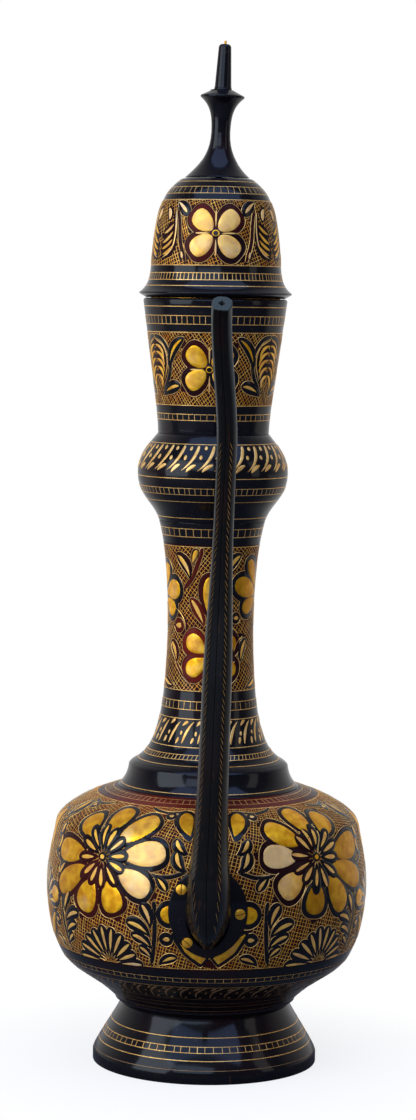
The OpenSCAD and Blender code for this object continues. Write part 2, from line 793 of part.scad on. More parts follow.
// The handle rises from a like bend, draws in and turns over into the cup
handle_pivot = [handle_top_out - handle_top_bend, z_handle_top - handle_top_bend];
handle_rise = curve(bend_end, [handle_top_out, handle_pivot.y], [-0.25, 0.34], [0, 0.34], 22);
handle_bend = [for (i = [1 : 8])
    let (a = 90 * i / 8)
    [handle_pivot.x + handle_top_bend * cos(a), handle_pivot.y + handle_top_bend * sin(a), 90 + a]];
handle_run = concat(
    lower_bend,
    [for (i = [1 : len(handle_rise) - 1])
        let (t = i / (len(handle_rise) - 1), s = eased(clamped(1.3 * t)))
        [
            handle_rise[i].x,
            handle_rise[i].y,
            i == len(handle_rise) - 1 ? 90 : heading(handle_rise, i),
            blend(bend_half_w, handle_slim_w, s),
            blend(bend_half_d, handle_slim_d, s)
        ]],
    [for (b = handle_bend) [b[0], b[1], b[2], handle_slim_w, handle_slim_d]],
    [[cup_seat_out, z_handle_top, 180, handle_slim_w, handle_end_h]]
);
handle_stations = [for (s = handle_run) concat(s, [front_share, 0, 0])];

// Half of a section, from the front round to the back, as [across, towards the front].
// A nearly flat front face, a sloping side from its arris to the widest point, and a round back.
face_steps = 4;
side_steps = 3;
back_steps = 7;
section_steps = face_steps + side_steps + back_steps;
arris_drop = 0.1;
squareness = 2.4;
function half_section(half_w, half_d, share) =
    let (arris = [share * half_w, (1 - arris_drop) * half_d])
    concat(
        [for (i = [0 : face_steps - 1])
            let (t = i / face_steps)
            [arris.x * t, half_d * (1 - arris_drop * t ^ 2)]],
        curve(arris, [half_w, 0], [0.55, 0.3], [0, 0.35], side_steps),
        [for (i = [1 : back_steps])
            let (a = 90 * i / back_steps)
            [half_w * cos(a) ^ (2 / squareness), -half_d * sin(a) ^ (2 / squareness)]]
    );

// One half of the spout: the outside with a groove at both seams, then the bore's V
function spout_half_section(half_w, half_d, share, bore) =
    let (
        outside = half_section(half_w, half_d, share),
        lip = [seam_groove, half_d - seam_groove / 4]
    )
    concat(
        [[0, half_d - seam_groove], lip],
        [for (i = [1 : section_steps - 1]) outside[i]],
        [[lip.x, -lip.y], [0, seam_groove - half_d], [0, -bore], [bore, 0], [0, bore]]
    );

// The same half section's end cap in triangles: three fans, each from one corner of the V
outside_count = section_steps + 3;
spout_half_cap =
    let (third = floor(outside_count / 3), back = outside_count, side = back + 1, front = back + 2)
    concat(
        [for (j = [0 : third - 1]) [front, j, j + 1]],
        [[front, third, side]],
        [for (j = [third : 2 * third - 1]) [side, j, j + 1]],
        [[side, 2 * third, back]],
        [for (j = [2 * third : outside_count - 2]) [back, j, j + 1]]
    );

function whole_section(half_w, half_d, share) =
    let (half = half_section(half_w, half_d, share))
    concat(half, [for (i = [section_steps - 1 : -1 : 1]) [-half[i].x, half[i].y]]);

whole_cap = [for (j = [1 : 2 * section_steps - 2]) [0, j, j + 1]];

function twisted(p, a) = [p.x * cos(a) - p.y * sin(a), p.x * sin(a) + p.y * cos(a)];

// Carries closed sections along stations and closes both ends with the given cap.
// With side -1 the sections are mirrored before they are twisted and swayed.
module carried(stations, sections, cap, side = 1) {
    rings = len(stations);
    sides = len(sections[0]);
    points = [for (i = [0 : rings - 1])
        let (s = stations[i], front = [sin(s[2]), -cos(s[2])])
        for (q = sections[i])
            let (p = twisted([side * q.x, q.y], s[7]))
            [s[6] + p.x, -(s[0] + p.y * front.x), s[1] + p.y * front.y]];
    walls = [for (i = [0 : rings - 2], j = [0 : sides - 1])
        let (a = i * sides + j, b = i * sides + (j + 1) % sides)
        for (face = [[a, b, b + sides], [a, b + sides, a + sides]]) face];
    start_cap = [for (t = cap) reversed(t)];
    end_cap = [for (t = cap) [for (k = t) (rings - 1) * sides + k]];
    faces = concat(walls, start_cap, end_cap);
    polyhedron(points = points, faces = side > 0 ? faces : [for (f = faces) reversed(f)], convexity = 6);
}

// Both halves share the same seam, which follows the sway and the twist
module spout_half(side) {
    rings = len(spout_stations);
    carried(spout_stations, [for (i = [0 : rings - 1])
        let (s = spout_stations[i], bore = blend(bore_root, bore_tip, clamped(1.6 * i / rings)))
        spout_half_section(s[3], s[4], s[5], bore)], spout_half_cap, side);
}

module spout_right() {
    color(black_lacquer) spout_half(1);
}

module spout_left() {
    color(black_lacquer) spout_half(-1);
}

module handle_bar() {
    color(black_lacquer) mirror([0, 1, 0])
        carried(handle_stations, [for (s = handle_stations) whole_section(s[3], s[4], s[5])], whole_cap);
}

foot();
belly_lower();
belly_upper();
shoulder_collar();
neck_column();
neck_knop();
neck_cup();
lid_dome();
lid_sleeve();
finial_stem();
finial_peg();
finial_rod();
finial_washer();
finial_nut();
spout_left();
spout_right();
spout_plate();
spout_screws();
handle_bar();
handle_lower_plate();
handle_lower_screws();
handle_upper_plate();
handle_upper_screws();
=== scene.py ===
# %% [markdown]
# # A surahi in black lacquer and cut brass
# A surahi is a tall ewer for water. The shells of this one are spun from brass sheet and lacquered
# black. The ornament is then cut through the lacquer with a graver until bright metal shows. So there
# are two levels on every wall: dark lacquer that was left standing, and brass that was laid bare.
# The construction comes in as a frame, and this lesson dresses it.

import bpy
import numpy as np
from mathutils import Matrix, Vector


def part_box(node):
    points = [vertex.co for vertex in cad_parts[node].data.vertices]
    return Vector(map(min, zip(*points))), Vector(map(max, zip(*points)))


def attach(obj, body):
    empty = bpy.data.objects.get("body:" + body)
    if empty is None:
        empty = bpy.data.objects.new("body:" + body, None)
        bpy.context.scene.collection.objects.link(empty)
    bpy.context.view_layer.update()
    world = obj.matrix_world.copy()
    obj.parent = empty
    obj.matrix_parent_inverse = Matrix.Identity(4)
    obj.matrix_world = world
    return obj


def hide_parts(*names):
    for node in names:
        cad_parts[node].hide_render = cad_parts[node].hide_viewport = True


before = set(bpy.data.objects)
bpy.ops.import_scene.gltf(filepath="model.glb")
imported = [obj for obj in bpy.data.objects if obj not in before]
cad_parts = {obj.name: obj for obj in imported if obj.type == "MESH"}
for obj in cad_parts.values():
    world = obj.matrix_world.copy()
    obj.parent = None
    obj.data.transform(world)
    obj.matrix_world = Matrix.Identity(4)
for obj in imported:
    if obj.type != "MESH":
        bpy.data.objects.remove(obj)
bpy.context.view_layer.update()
MM = 0.001
rng = np.random.default_rng(7)

# %% [markdown]
# ## Arrays into meshes
# Every new piece here is one or more grids of points. A grid can be closed round its rows, as a turned
# shell is, or left open, as a cut stroke is. The same numbering of quads serves both, so one helper
# makes the faces and another one puts the arrays into a mesh.

# %% Grids and pieces
def grid_faces(rows, cols, sets=1, close_rows=False, close_cols=False):
    """Quads of equal grids of rows x cols points, numbered set by set and row by row."""
    i = np.arange(rows if close_rows else rows - 1)
    j = np.arange(cols if close_cols else cols - 1)
    s, i, j = np.meshgrid(np.arange(sets), i, j, indexing="ij")
    corners = [(i, j), (i + 1, j), (i + 1, j + 1), (i, j + 1)]
    return np.stack([(s * rows + a % rows) * cols + b % cols for a, b in corners], -1)


def gather(parts):
    """Many (points, faces, tone) as one: faces are renumbered by the points that come before them."""
    starts = np.cumsum([0] + [len(p[0]) for p in parts[:-1]])
    faces = [p[1].reshape(-1, 4) + start for p, start in zip(parts, starts)]
    points, tone = (np.concatenate([p[k] for p in parts]) for k in (0, 2))
    return points, np.concatenate(faces), tone


def whole(points, faces, tone=0.0):
    """A grid's points as one list, with its faces and one tone for all of it."""
    return points.reshape(-1, 3), faces, np.full(points.size // 3, float(tone))


def piece(name, points, faces, tone, body, finish, slot, replaces=(), crease=35.0):
    """One object from arrays in mm.

    Points that no face uses are dropped, and edges over crease degrees stay sharp.
    """
    used, faces = np.unique(faces, return_inverse=True)
    faces = faces.reshape(-1, 4)
    mesh = bpy.data.meshes.new(name)
    mesh.from_pydata((points[used] * MM).tolist(), [], faces.tolist())
    tones = mesh.attributes.new("tone", "FLOAT", "POINT")
    tones.data.foreach_set("value", tone[used].astype(np.float32))
    mesh.shade_smooth()
    mesh.set_sharp_from_angle(angle=np.radians(crease))
    mesh.materials.append(finish)
    made = bpy.data.objects.new(name, mesh)
    bpy.context.scene.collection.objects.link(made)
    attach(made, body)
    if replaces:
        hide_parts(*replaces)
    print(f"{name}: {len(used)} points, {2 * len(faces)} triangles")
    return made


# %% [markdown]
# ## Finishes
# Lacquer is nearly black and turns maroon where it is thin. A clear coat gives the gloss. Brass drifts
# from amber to pale gold, with the fine marks of the scraper in its bump. A painted picture could hold
# all that, but it would suit one size and one view. So each piece carries a "tone" at its points: on
# lacquer it says how maroon it is, and below 0 how much grey sheen is painted on it; on brass how pale
# it is, and on the flowers that paleness is painted light and shade. A single petal can then be painted
# brighter or darker than its neighbour, as light falls on it, without a material of its own.

# %% Node helpers
def new_finish(name):
    """A node material, its tree and its shader."""
    made = bpy.data.materials.new(name)
    made.use_nodes = True
    return made, made.node_tree, made.node_tree.nodes["Principled BSDF"]


def noise(tree, scale, detail=3.0, upright=1.0):
    """Noise on Object coordinates in metres.

    Heights are multiplied by upright, so a low one draws the noise out into streaks.
    """
    made = tree.nodes.new("ShaderNodeTexNoise")
    made.inputs["Scale"].default_value = scale
    made.inputs["Detail"].default_value = detail
    drawn = tree.nodes.new("ShaderNodeMapping")
    drawn.inputs["Scale"].default_value = (1, 1, upright)
    place = tree.nodes.new("ShaderNodeTexCoord").outputs["Object"]
    tree.links.new(place, drawn.inputs["Vector"])
    tree.links.new(drawn.outputs["Vector"], made.inputs["Vector"])
    return made.outputs["Fac"]


def between(tree, value, low, high, to_low=0.0, to_high=1.0):
    """A value from low to high carried to another range, and held at its ends."""
    made = tree.nodes.new("ShaderNodeMapRange")
    for name, number in zip(("From Min", "From Max", "To Min", "To Max"), (low, high, to_low, to_high)):
        made.inputs[name].default_value = number
    tree.links.new(value, made.inputs["Value"])
    return made.outputs["Result"]


def blend(tree, share, first, second):
    """A colour between two others; each is a socket or three numbers."""
    made = tree.nodes.new("ShaderNodeMix")
    made.data_type = "RGBA"
    tree.links.new(share, made.inputs["Factor"])
    for socket, colour in ((made.inputs["A"], first), (made.inputs["B"], second)):
        if isinstance(colour, tuple):
            socket.default_value = (*colour, 1)
        else:
            tree.links.new(colour, socket)
    return made.outputs["Result"]


def rough_surface(tree, shader, height, depth_mm):
    """Bump from a height of 0 to 1 over a depth in mm."""
    made = tree.nodes.new("ShaderNodeBump")
    made.inputs["Distance"].default_value = depth_mm * MM
    tree.links.new(height, made.inputs["Height"])
    tree.links.new(made.outputs["Normal"], shader.inputs["Normal"])


def coordinate(tree, axis, space="Object"):
    """One coordinate of a point."""
    made = tree.nodes.new("ShaderNodeSeparateXYZ")
    tree.links.new(tree.nodes.new("ShaderNodeTexCoord").outputs[space], made.inputs["Vector"])
    return made.outputs[axis]


def piece_tone(tree):
    """The tone that the piece carries at its points."""
    made = tree.nodes.new("ShaderNodeAttribute")
    made.attribute_name = "tone"
    return made.outputs["Fac"]


def sum_of(tree, first, second, step="ADD"):
    """Two values added, or joined by another step, and held between 0 and 1."""
    made = tree.nodes.new("ShaderNodeMath")
    made.operation = step
    made.use_clamp = True
    tree.links.new(first, made.inputs[0])
    tree.links.new(second, made.inputs[1])
    return made.outputs["Value"]


def product_of(tree, first, second):
    """Two values multiplied, held between 0 and 1."""
    return sum_of(tree, first, second, "MULTIPLY")


# %% Lacquer
BLUE_BLACK = (0.0046, 0.0036, 0.0048)
BROWN_BLACK = (0.0062, 0.0052, 0.0046)
MAROON = (0.150, 0.0130, 0.0060)
BROWN_FLECK = (0.035, 0.014, 0.006)
SHEEN_GREY = (0.058, 0.066, 0.060)
COAT, CAST_COAT, COAT_ROUGH = 0.30, 0.03, 0.10
GRIP_LOW, GRIP_HIGH = 0.095, 0.150
THIN_TONE, THIN_COAT = 0.06, 0.1
STREAKS = 0.06


def lacquer_finish(name, black, held_coat, grain):
    """Black, maroon by tone and in slow patches, grey by a tone under 0 as a painted sheen, with a
    clear coat.

    The coat thins to held_coat between two heights in m, above which a hand holds the piece, and it is
    mostly gone from thin lacquer. A grain under 1 draws the brown flecks out into upright streaks.
    """
    made, tree, shader = new_finish(name)
    tone = piece_tone(tree)
    patches = between(tree, noise(tree, 26, 2), 0.52, 0.80, 0.0, 0.07)
    thin = sum_of(tree, tone, patches)
    body_colour = blend(tree, thin, black, MAROON)
    body_colour = blend(tree, between(tree, tone, -1.0, 0.0, 1.0, 0.0), body_colour, SHEEN_GREY)
    flecks = between(tree, noise(tree, 520, 4, grain), 0.63, 0.72, 0.0, 0.7)
    tree.links.new(blend(tree, flecks, body_colour, BROWN_FLECK), shader.inputs["Base Color"])
    tree.links.new(between(tree, noise(tree, 90, 4), 0.3, 0.7, 0.22, 0.36), shader.inputs["Roughness"])
    shader.inputs["Specular IOR Level"].default_value = 0.03
    coat = between(tree, coordinate(tree, "Z"), GRIP_LOW, GRIP_HIGH, COAT, held_coat)
    left_on = between(tree, tone, 0.0, THIN_TONE, 1.0, THIN_COAT)
    tree.links.new(product_of(tree, coat, left_on), shader.inputs["Coat Weight"])
    shader.inputs["Coat Roughness"].default_value = COAT_ROUGH
    rough_surface(tree, shader, noise(tree, 300, 2), 0.02)
    return made


# %% Brass
DULL_SHARE, MATT_SHARE, MATT_TONE = 0.4, 0.45, 0.6


def brass_finish(name, deep, bright, pale, metal, rough):
    """Brass from deep to bright, by tone duller below 0 and paler above, with scraper marks in its
    bump.

    The tone is partly painted light and shade, set petal by petal. Paler brass is scraped matt, so it
    is less of a mirror.
    """
    made, tree, shader = new_finish(name)
    tone = piece_tone(tree)
    warm = blend(tree, between(tree, noise(tree, 230, 4), 0.36, 0.62), deep, bright)
    dull_and_shaded = tuple(DULL_SHARE * channel for channel in deep)
    warm = blend(tree, between(tree, tone, -1.0, 0.0, 1.0, 0.0), warm, dull_and_shaded)
    worn_and_sheen = between(tree, noise(tree, 70, 2), 0.52, 0.78, 0.0, 0.5)
    colour = blend(tree, sum_of(tree, tone, worn_and_sheen), warm, pale)
    tree.links.new(colour, shader.inputs["Base Color"])
    sheen = between(tree, noise(tree, 240, 4), 0.3, 0.7, rough - 0.08, rough + 0.10)
    tree.links.new(sheen, shader.inputs["Roughness"])
    mirror = between(tree, tone, 0.0, MATT_TONE, metal, MATT_SHARE * metal)
    tree.links.new(mirror, shader.inputs["Metallic"])
    shader.inputs["Specular IOR Level"].default_value = 0.2
    rough_surface(tree, shader, noise(tree, 700, 3), 0.04)
    return made


LACQUER = lacquer_finish("black_lacquer", BLUE_BLACK, COAT, 1.0)
CAST_LACQUER = lacquer_finish("cast_lacquer", BROWN_BLACK, CAST_COAT, STREAKS)
PETAL_BRASS = brass_finish(
    "petal_brass", (0.70, 0.265, 0.005), (1.0, 0.50, 0.015), (0.94, 0.63, 0.33), 0.75, 0.46)
LINE_BRASS = brass_finish(
    "line_brass", (0.65, 0.315, 0.070), (0.87, 0.485, 0.140), (0.97, 0.60, 0.24), 0.65, 0.42)
HATCH_BRASS = brass_finish(
    "hatch_brass", (0.79, 0.255, 0.013), (1.0, 0.48, 0.056), (1.0, 0.63, 0.19), 0.45, 0.42)
DIM_BRASS = brass_finish(
    "dim_brass", (0.16, 0.080, 0.033), (0.28, 0.146, 0.062), (0.38, 0.226, 0.107), 0.4, 0.5)
BARE_BRASS = brass_finish(
    "bare_brass", (0.75, 0.30, 0.02), (0.84, 0.42, 0.035), (0.88, 0.56, 0.14), 0.70, 0.36)
print("finishes:", len(bpy.data.materials))

# %% [markdown]
# ## Turned shells
# The foot, the two halves of the belly, the collar, the neck, the knop, the cup and the lid were all
# turned. A Bevel could ease the edges of their solids, but a solid comes in as loose triangles. Each of
# them has a seam where its surface starts and ends, at y = 0 on the +X side, and the mesh edges along
# it are the turner's outline. So the outline is walked once and carried round the axis again on a
# finer grid, with its corners eased, and its edges catch a thin light.

# %% Read an outline
def node_points(node):
    """The points of a node in mm."""
    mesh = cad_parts[node].data
    points = np.empty(3 * len(mesh.vertices), np.float32)
    mesh.vertices.foreach_get("co", points)
    return points.reshape(-1, 3).astype(float) / MM


def seam_outline(node, straighten=None):
    """Closed outline of a turned node in mm, as (radius, height): its mesh edges in y = 0, x > 0."""
    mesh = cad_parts[node].data
    points = node_points(node)
    if straighten is not None:
        points = straighten(points)
    edges = np.empty(2 * len(mesh.edges), np.int32)
    mesh.edges.foreach_get("vertices", edges)
    on_seam = (np.abs(points[:, 1]) < 0.004) & (points[:, 0] > 0.01)
    edges = edges.reshape(-1, 2)
    edges = edges[on_seam[edges].all(1)]
    places, where = np.unique(np.round(points[:, [0, 2]], 2), axis=0, return_inverse=True)
    pairs = np.sort(where.ravel()[edges], axis=1)
    pairs = np.unique(pairs[pairs[:, 0] != pairs[:, 1]], axis=0).tolist()
    beside = {}
    for a, b in pairs:
        beside.setdefault(a, []).append(b)
        beside.setdefault(b, []).append(a)
    walk = [min(beside, key=lambda k: len(beside[k]))]
    while ahead := [k for k in beside[walk[-1]] if k not in walk]:
        walk.append(ahead[0])
    outline = places[walk]
    r, z = outline.T
    area = np.sum(r * np.roll(z, -1) - np.roll(r, -1) * z)
    return outline if area > 0 else outline[::-1]


def eased_corners(outline, reach=0.3, corner=28.0):
    """The same outline with each sharp corner cut back by reach along both of its edges."""
    to_next = np.roll(outline, -1, 0) - outline
    length = np.linalg.norm(to_next, axis=1)
    heading = np.arctan2(to_next[:, 1], to_next[:, 0])
    turn = np.abs((heading - np.roll(heading, 1) + np.pi) % (2 * np.pi) - np.pi)
    sharp = turn > np.radians(corner)
    ahead = to_next * (np.minimum(reach, 0.3 * length) / length)[:, None]
    back_length = np.roll(length, 1)
    back = -np.roll(to_next, 1, 0) * (np.minimum(reach, 0.3 * back_length) / back_length)[:, None]
    three = np.stack([outline + back, outline + 0.29 * (ahead + back), outline + ahead], 1)
    plain = np.stack([outline] * 3, 1)
    kept = np.stack([sharp, np.ones_like(sharp), sharp], 1)
    return np.where(sharp[:, None, None], three, plain)[kept]


ROUND = 192


def turned(outline, segments=ROUND):
    """The outline carried round Z: x = r sin a, y = -r cos a, with a = 0 towards the viewer."""
    a = np.linspace(-np.pi, np.pi, segments, endpoint=False)
    r, z = outline.T
    points = np.stack([r[:, None] * np.sin(a), -r[:, None] * np.cos(a), z[:, None] + 0 * a], -1)
    faces = grid_faces(len(outline), segments, close_rows=True, close_cols=True)
    return whole(points, faces[..., ::-1])


# %% Turn the shells
TURNED = (
    "foot", "belly_lower", "belly_upper", "shoulder_collar",
    "neck_column", "neck_knop", "neck_cup", "lid_dome",
)
OUTLINE = {node: seam_outline(node) for node in TURNED}
PANEL_AT = {
    "belly_upper": (61.5, 136.8), "neck_column": (189.9, 262.2),
    "neck_cup": (332.1, 367.7), "lid_dome": (400.9, 432.6),
}
THINNEST = {"belly_upper": 0.20, "neck_column": 0.20, "neck_cup": 0.16, "lid_dome": 0.12}
RED_BAND_Z = 137.8


def hump(value, middle, width):
    """1 at a middle and falling smoothly: e to the minus ((value - middle) / width) squared."""
    return np.exp(-(((value - middle) / width) ** 2))


def thin_lacquer(node, points):
    """How maroon a shell is: thin lacquer in the cut panels, most of all to the left of the spout.

    The band under the collar is red as well, at two places beside the spout.
    """
    z = points[:, 2]
    angle = np.degrees(np.arctan2(points[:, 0], -points[:, 1]))
    low, high = PANEL_AT.get(node, (0.0, 0.0))
    tone = THINNEST.get(node, 0.0) * ((z > low) & (z < high)) * (0.35 + 0.65 * hump(angle, -35, 45))
    if node == "belly_upper":
        beside = hump(angle, -34, 26) + 0.7 * hump(angle, 42, 24)
        tone = tone + hump(z, RED_BAND_Z, 3.4) * (0.25 + 0.75 * beside)
    return tone


for node in TURNED:
    points, faces, _ = turned(eased_corners(OUTLINE[node]))
    tone = thin_lacquer(node, points)
    body = "lid" if node.startswith("lid") else "vessel"
    piece(node + "_shell", points, faces, tone, body, LACQUER, "black_lacquer", [node])

# %% [markdown]
# ## The finial
# The stem and the peg are turned as well, but the finial stands a little crooked on the real lid. Its
# rod shows the lean: the longest direction of the rod's points is the axis. The stem and the peg are
# set upright, read, turned and leant again. The stem's foot was soldered flat, so its lean sets in
# over the first few mm.

# %% Turn the finial
rod = node_points("finial_rod")
rod_middle = (rod.min(0) + rod.max(0)) / 2
rod_axis = np.linalg.svd(rod - rod.mean(0), full_matrices=False)[2][0]
rod_axis *= np.sign(rod_axis[2])
lean = np.arctan2(rod_axis[0], rod_axis[2])
LEAN = np.array([[np.cos(lean), 0, np.sin(lean)], [0, 1, 0], [-np.sin(lean), 0, np.cos(lean)]])
PIVOT = np.array([0, 0, rod_middle[2] - rod_middle[0] / np.tan(lean)])

FLAT_FOOT = {"finial_stem": 9.0, "finial_peg": 0.01}
FINIAL_EASE, FINIAL_ROUND = 0.2, 96

for node, flat in FLAT_FOOT.items():
    upright = seam_outline(node, lambda p: (p - PIVOT) @ LEAN + PIVOT)
    points, faces, tone = turned(eased_corners(upright, FINIAL_EASE), FINIAL_ROUND)
    leant = (points - PIVOT) @ LEAN.T + PIVOT
    share = np.clip((points[:, 2:] - upright[:, 1].min()) / flat, 0, 1)
    points = points + share * (leant - points)
    piece(node + "_shell", points, faces, tone, "lid", LACQUER, "black_lacquer", [node])
print(f"finial leans {np.degrees(lean):.2f} degrees about z = {PIVOT[2]:.1f} mm")

# %% [markdown]
# ## Cutting on a wall
# The graver works on a wall as on a sheet of paper that has been rolled round it. A wall is unrolled
# here: x runs round it, measured at its largest radius, and y runs up along it. A mark is drawn flat,
# in mm, and laid on the wall with a small height. A cut could be a texture, but strokes of real metal
# keep their edges and their gleam from close by.

# %% Unrolled walls
WALL_STEPS = 500


def wall(node, low, high):
    """The outer wall of a turned node between two heights: radius, height, normal along its arc."""
    a, b = OUTLINE[node], np.roll(OUTLINE[node], -1, 0)
    z = np.linspace(low, high, WALL_STEPS)
    rise = np.where(np.abs(b[:, 1] - a[:, 1]) < 1e-6, np.nan, b[:, 1] - a[:, 1])
    share = (z[:, None] - a[:, 1]) / rise
    r = np.where((share >= -1e-9) & (share <= 1 + 1e-9), a[:, 0] + share * (b[:, 0] - a[:, 0]), np.nan)
    r = np.nanmax(r, axis=1)
    arc = np.concatenate([[0], np.cumsum(np.hypot(np.diff(r), np.diff(z)))])
    out, up = np.gradient(z, arc), -np.gradient(r, arc)
    largest = r.max()
    shape = {"arc": arc, "r": r, "z": z, "out": out, "up": up}
    return shape | {"scale": largest, "round": 2 * np.pi * largest}


def lay(on, x, y, height):
    """A flat mark on a wall: angle = x / largest radius, arc length = y, raised along the normal."""
    at = {k: np.interp(y, on["arc"], on[k]) for k in ("r", "z", "out", "up")}
    r = at["r"] + height * at["out"]
    angle = x / on["scale"]
    return np.stack([r * np.sin(angle), -r * np.cos(angle), at["z"] + height * at["up"]], -1)


def height_on(on, z):
    """Arc length up a wall at a height in mm."""
    return np.interp(z, on["z"], on["arc"])


# %% Strokes
BROAD = np.array([-1.0, -0.85, -0.5, 0.0, 0.5, 0.85, 1.0])
THIN = np.array([-1.0, 0.0, 1.0])
SUNK = -0.05


def sideways(path):
    """Unit steps to the left of each point of some paths."""
    along = np.gradient(path, axis=1)
    along = along / (np.linalg.norm(along, axis=-1, keepdims=True) + 1e-12)
    return np.stack([-along[..., 1], along[..., 0]], -1)


def stroke(on, path, half, level, crown=0.0, keep=None, tone=0.0, columns=BROAD, rim=0.0):
    """Ribbons on a wall: path points, moved sideways by v times the half width, v from -1 to 1.

    path is (strokes, points, 2). The height is level + crown (1 - v squared), and just under the wall
    at both edges. The tone falls by rim times v to the fourth: shade painted along both edges. keep
    names the quads that are made.
    """
    half = np.broadcast_to(half, path.shape[:2])
    flat = path[:, :, None] + sideways(path)[:, :, None] * (half[..., None] * columns)[..., None]
    height = np.where(np.abs(columns) == 1, SUNK, level + crown * (1 - columns**2))
    points = lay(on, flat[..., 0], flat[..., 1], height + 0 * flat[..., 0])
    faces = grid_faces(path.shape[1], len(columns), len(path))
    if keep is not None:
        faces = faces[keep]
    tone = np.broadcast_to(np.reshape(tone, (-1, 1, 1)) - rim * columns**4, points.shape[:3])
    return points.reshape(-1, 3), faces, tone.ravel()


def spacing(count):
    """Shares along a drop from near 0 to near 1, closer together at both ends."""
    return (1 - np.cos(np.pi * np.linspace(0.03, 0.97, count))) / 2


def bent(rows, grow=0.0, count=15):
    """Spines of drops. A row is base x, y, tip x, y, full width, bend.

    The middle is pushed to the left by bend times the length, and both ends are drawn out by grow.
    """
    rows = np.atleast_2d(np.asarray(rows, float))
    base, run = rows[:, None, :2], (rows[:, 2:4] - rows[:, :2])[:, None]
    length = np.linalg.norm(run, axis=-1, keepdims=True)
    base, run = base - run / length * grow, run * (1 + 2 * grow / length)
    s = spacing(count)[None, :, None]
    aside = np.stack([-run[..., 1], run[..., 0]], -1)
    return base + run * s + 4 * s * (1 - s) * rows[:, None, 5:6] * aside


def swell(rows, grow=0.0, full=0.66, blunt=0.5, count=15):
    """Half widths along drops: half the width, times s to one power and 1 - s to another.

    The powers are such that the widest place is at s = full. A low blunt makes a round tip.
    """
    rows = np.atleast_2d(np.asarray(rows, float))
    s = spacing(count)
    root = blunt * full / (1 - full)
    shape = (s / full) ** root * ((1 - s) / (1 - full)) ** blunt
    return (rows[:, 4:5] / 2 + grow) * shape


def through(places, count=40):
    """A smooth line through places: a cubic from each to the next, headed as its neighbours lie."""
    p = np.asarray(places, float)
    p = np.vstack([2 * p[:1] - p[1:2], p, 2 * p[-1:] - p[-2:-1]])
    t = np.linspace(0, len(p) - 3 - 1e-9, count)
    i = t.astype(int)
    f = (t - i)[:, None]
    a, b, c, d = p[i], p[i + 1], p[i + 2], p[i + 3]
    return b + f / 2 * (c - a + f * (2 * a - 5 * b + 4 * c - d + f * (3 * (b - c) + d - a)))


# %% [markdown]
# ## Petals, leaves and flowers
# The engraver's vocabulary is small. A petal is a drop of bare brass inside a dark edge, with a fine
# line cut outside it. A leaf is a dark drop with a slit of brass in it. Stems are dark lines with a
# fine cut on both sides. All of it could be traced curve by curve, but a few functions draw nearly
# everything from rows of places and widths, and a row is quickly moved, mirrored and repeated.
# A panel keeps a list of the dark drops on it. Fine lines stop at the drops of others, and the
# hatching of the ground stops at all of them.

# %% Panels
GROUND, DARK, LINE, BRIGHT = 0.05, 0.10, 0.13, 0.16
FINE = 0.22
CLEAR = 0.4
OVERLAP = 1.0


def new_panel(node):
    """Empty layers for the cut panel of a node, its fine lines, and the drops that stand on it."""
    return {"on": wall(node, *PANEL_AT[node]), "dark": [], "bright": [], "fine": [], "drops": []}


def stands(panel, path, half):
    """Notes dark drops, and gives their numbers."""
    first = len(panel["drops"])
    panel["drops"] += list(zip(path, half))
    return range(first, len(panel["drops"]))


def fine_round(panel, path, half, owners, level=LINE):
    """Notes a fine line round each drop: up its left side and down its right."""
    aside = sideways(path) * half[..., None]
    edge = np.concatenate([path + aside, (path - aside)[:, ::-1]], axis=1)
    panel["fine"] += [(line, owner, level) for line, owner in zip(edge, owners)]


def outside(panel, points, owner=None, slack=0.0):
    """True for points off all drops but the owner's: further from a spine than its half width there."""
    clear = np.ones(len(points), bool)
    round_about = panel["on"]["round"]
    for k, (spine, half) in enumerate(panel["drops"]):
        if k == owner:
            continue
        middle, reach = spine.mean(0), np.ptp(spine, axis=0).max() / 2 + half.max() + 1
        away = points - middle
        away[:, 0] -= round_about * np.round(away[:, 0] / round_about)
        near = np.flatnonzero((np.abs(away) < reach).all(1))
        gap = np.linalg.norm(away[near, None] - (spine - middle), axis=-1)
        nearest = gap.argmin(1)
        clear[near[gap.min(1) < half[nearest] - slack]] = False
    return clear


def claim(panel, rows, edge, shape):
    """Notes drops, grown by edge, as standing on the panel, with a fine line round each."""
    own = stands(panel, bent(rows, edge + CLEAR, 40), swell(rows, edge + CLEAR, count=40, **shape))
    fine_round(panel, bent(rows, edge + FINE, 25), swell(rows, edge + FINE, count=25, **shape), own)


def fine_lines(panel):
    """The fine lines of a panel as thin strokes, left out where they would cross another drop."""
    made = []
    for line, owner, level in panel["fine"]:
        clear = outside(panel, line, owner, OVERLAP)
        keep = (clear[1:] & clear[:-1])[None]
        made.append(stroke(panel["on"], line[None], FINE, level, keep=keep, columns=THIN))
    return made


# %% Petals and leaves
def petals(panel, rows, edge=2.4, full=0.66, blunt=0.5, tint=0.0, pale=0.0):
    """Drops of brass with a dark edge round them and a fine line round that."""
    shape = {"full": full, "blunt": blunt}
    on = panel["on"]
    panel["dark"].append(stroke(on, bent(rows, edge), swell(rows, edge, **shape), DARK, tone=tint))
    width = swell(rows, **shape)
    # The rim darkens the edges of each petal: painted shade.
    panel["bright"].append(stroke(on, bent(rows), width, BRIGHT, 0.08, tone=pale, rim=0.2))
    claim(panel, rows, edge, shape)


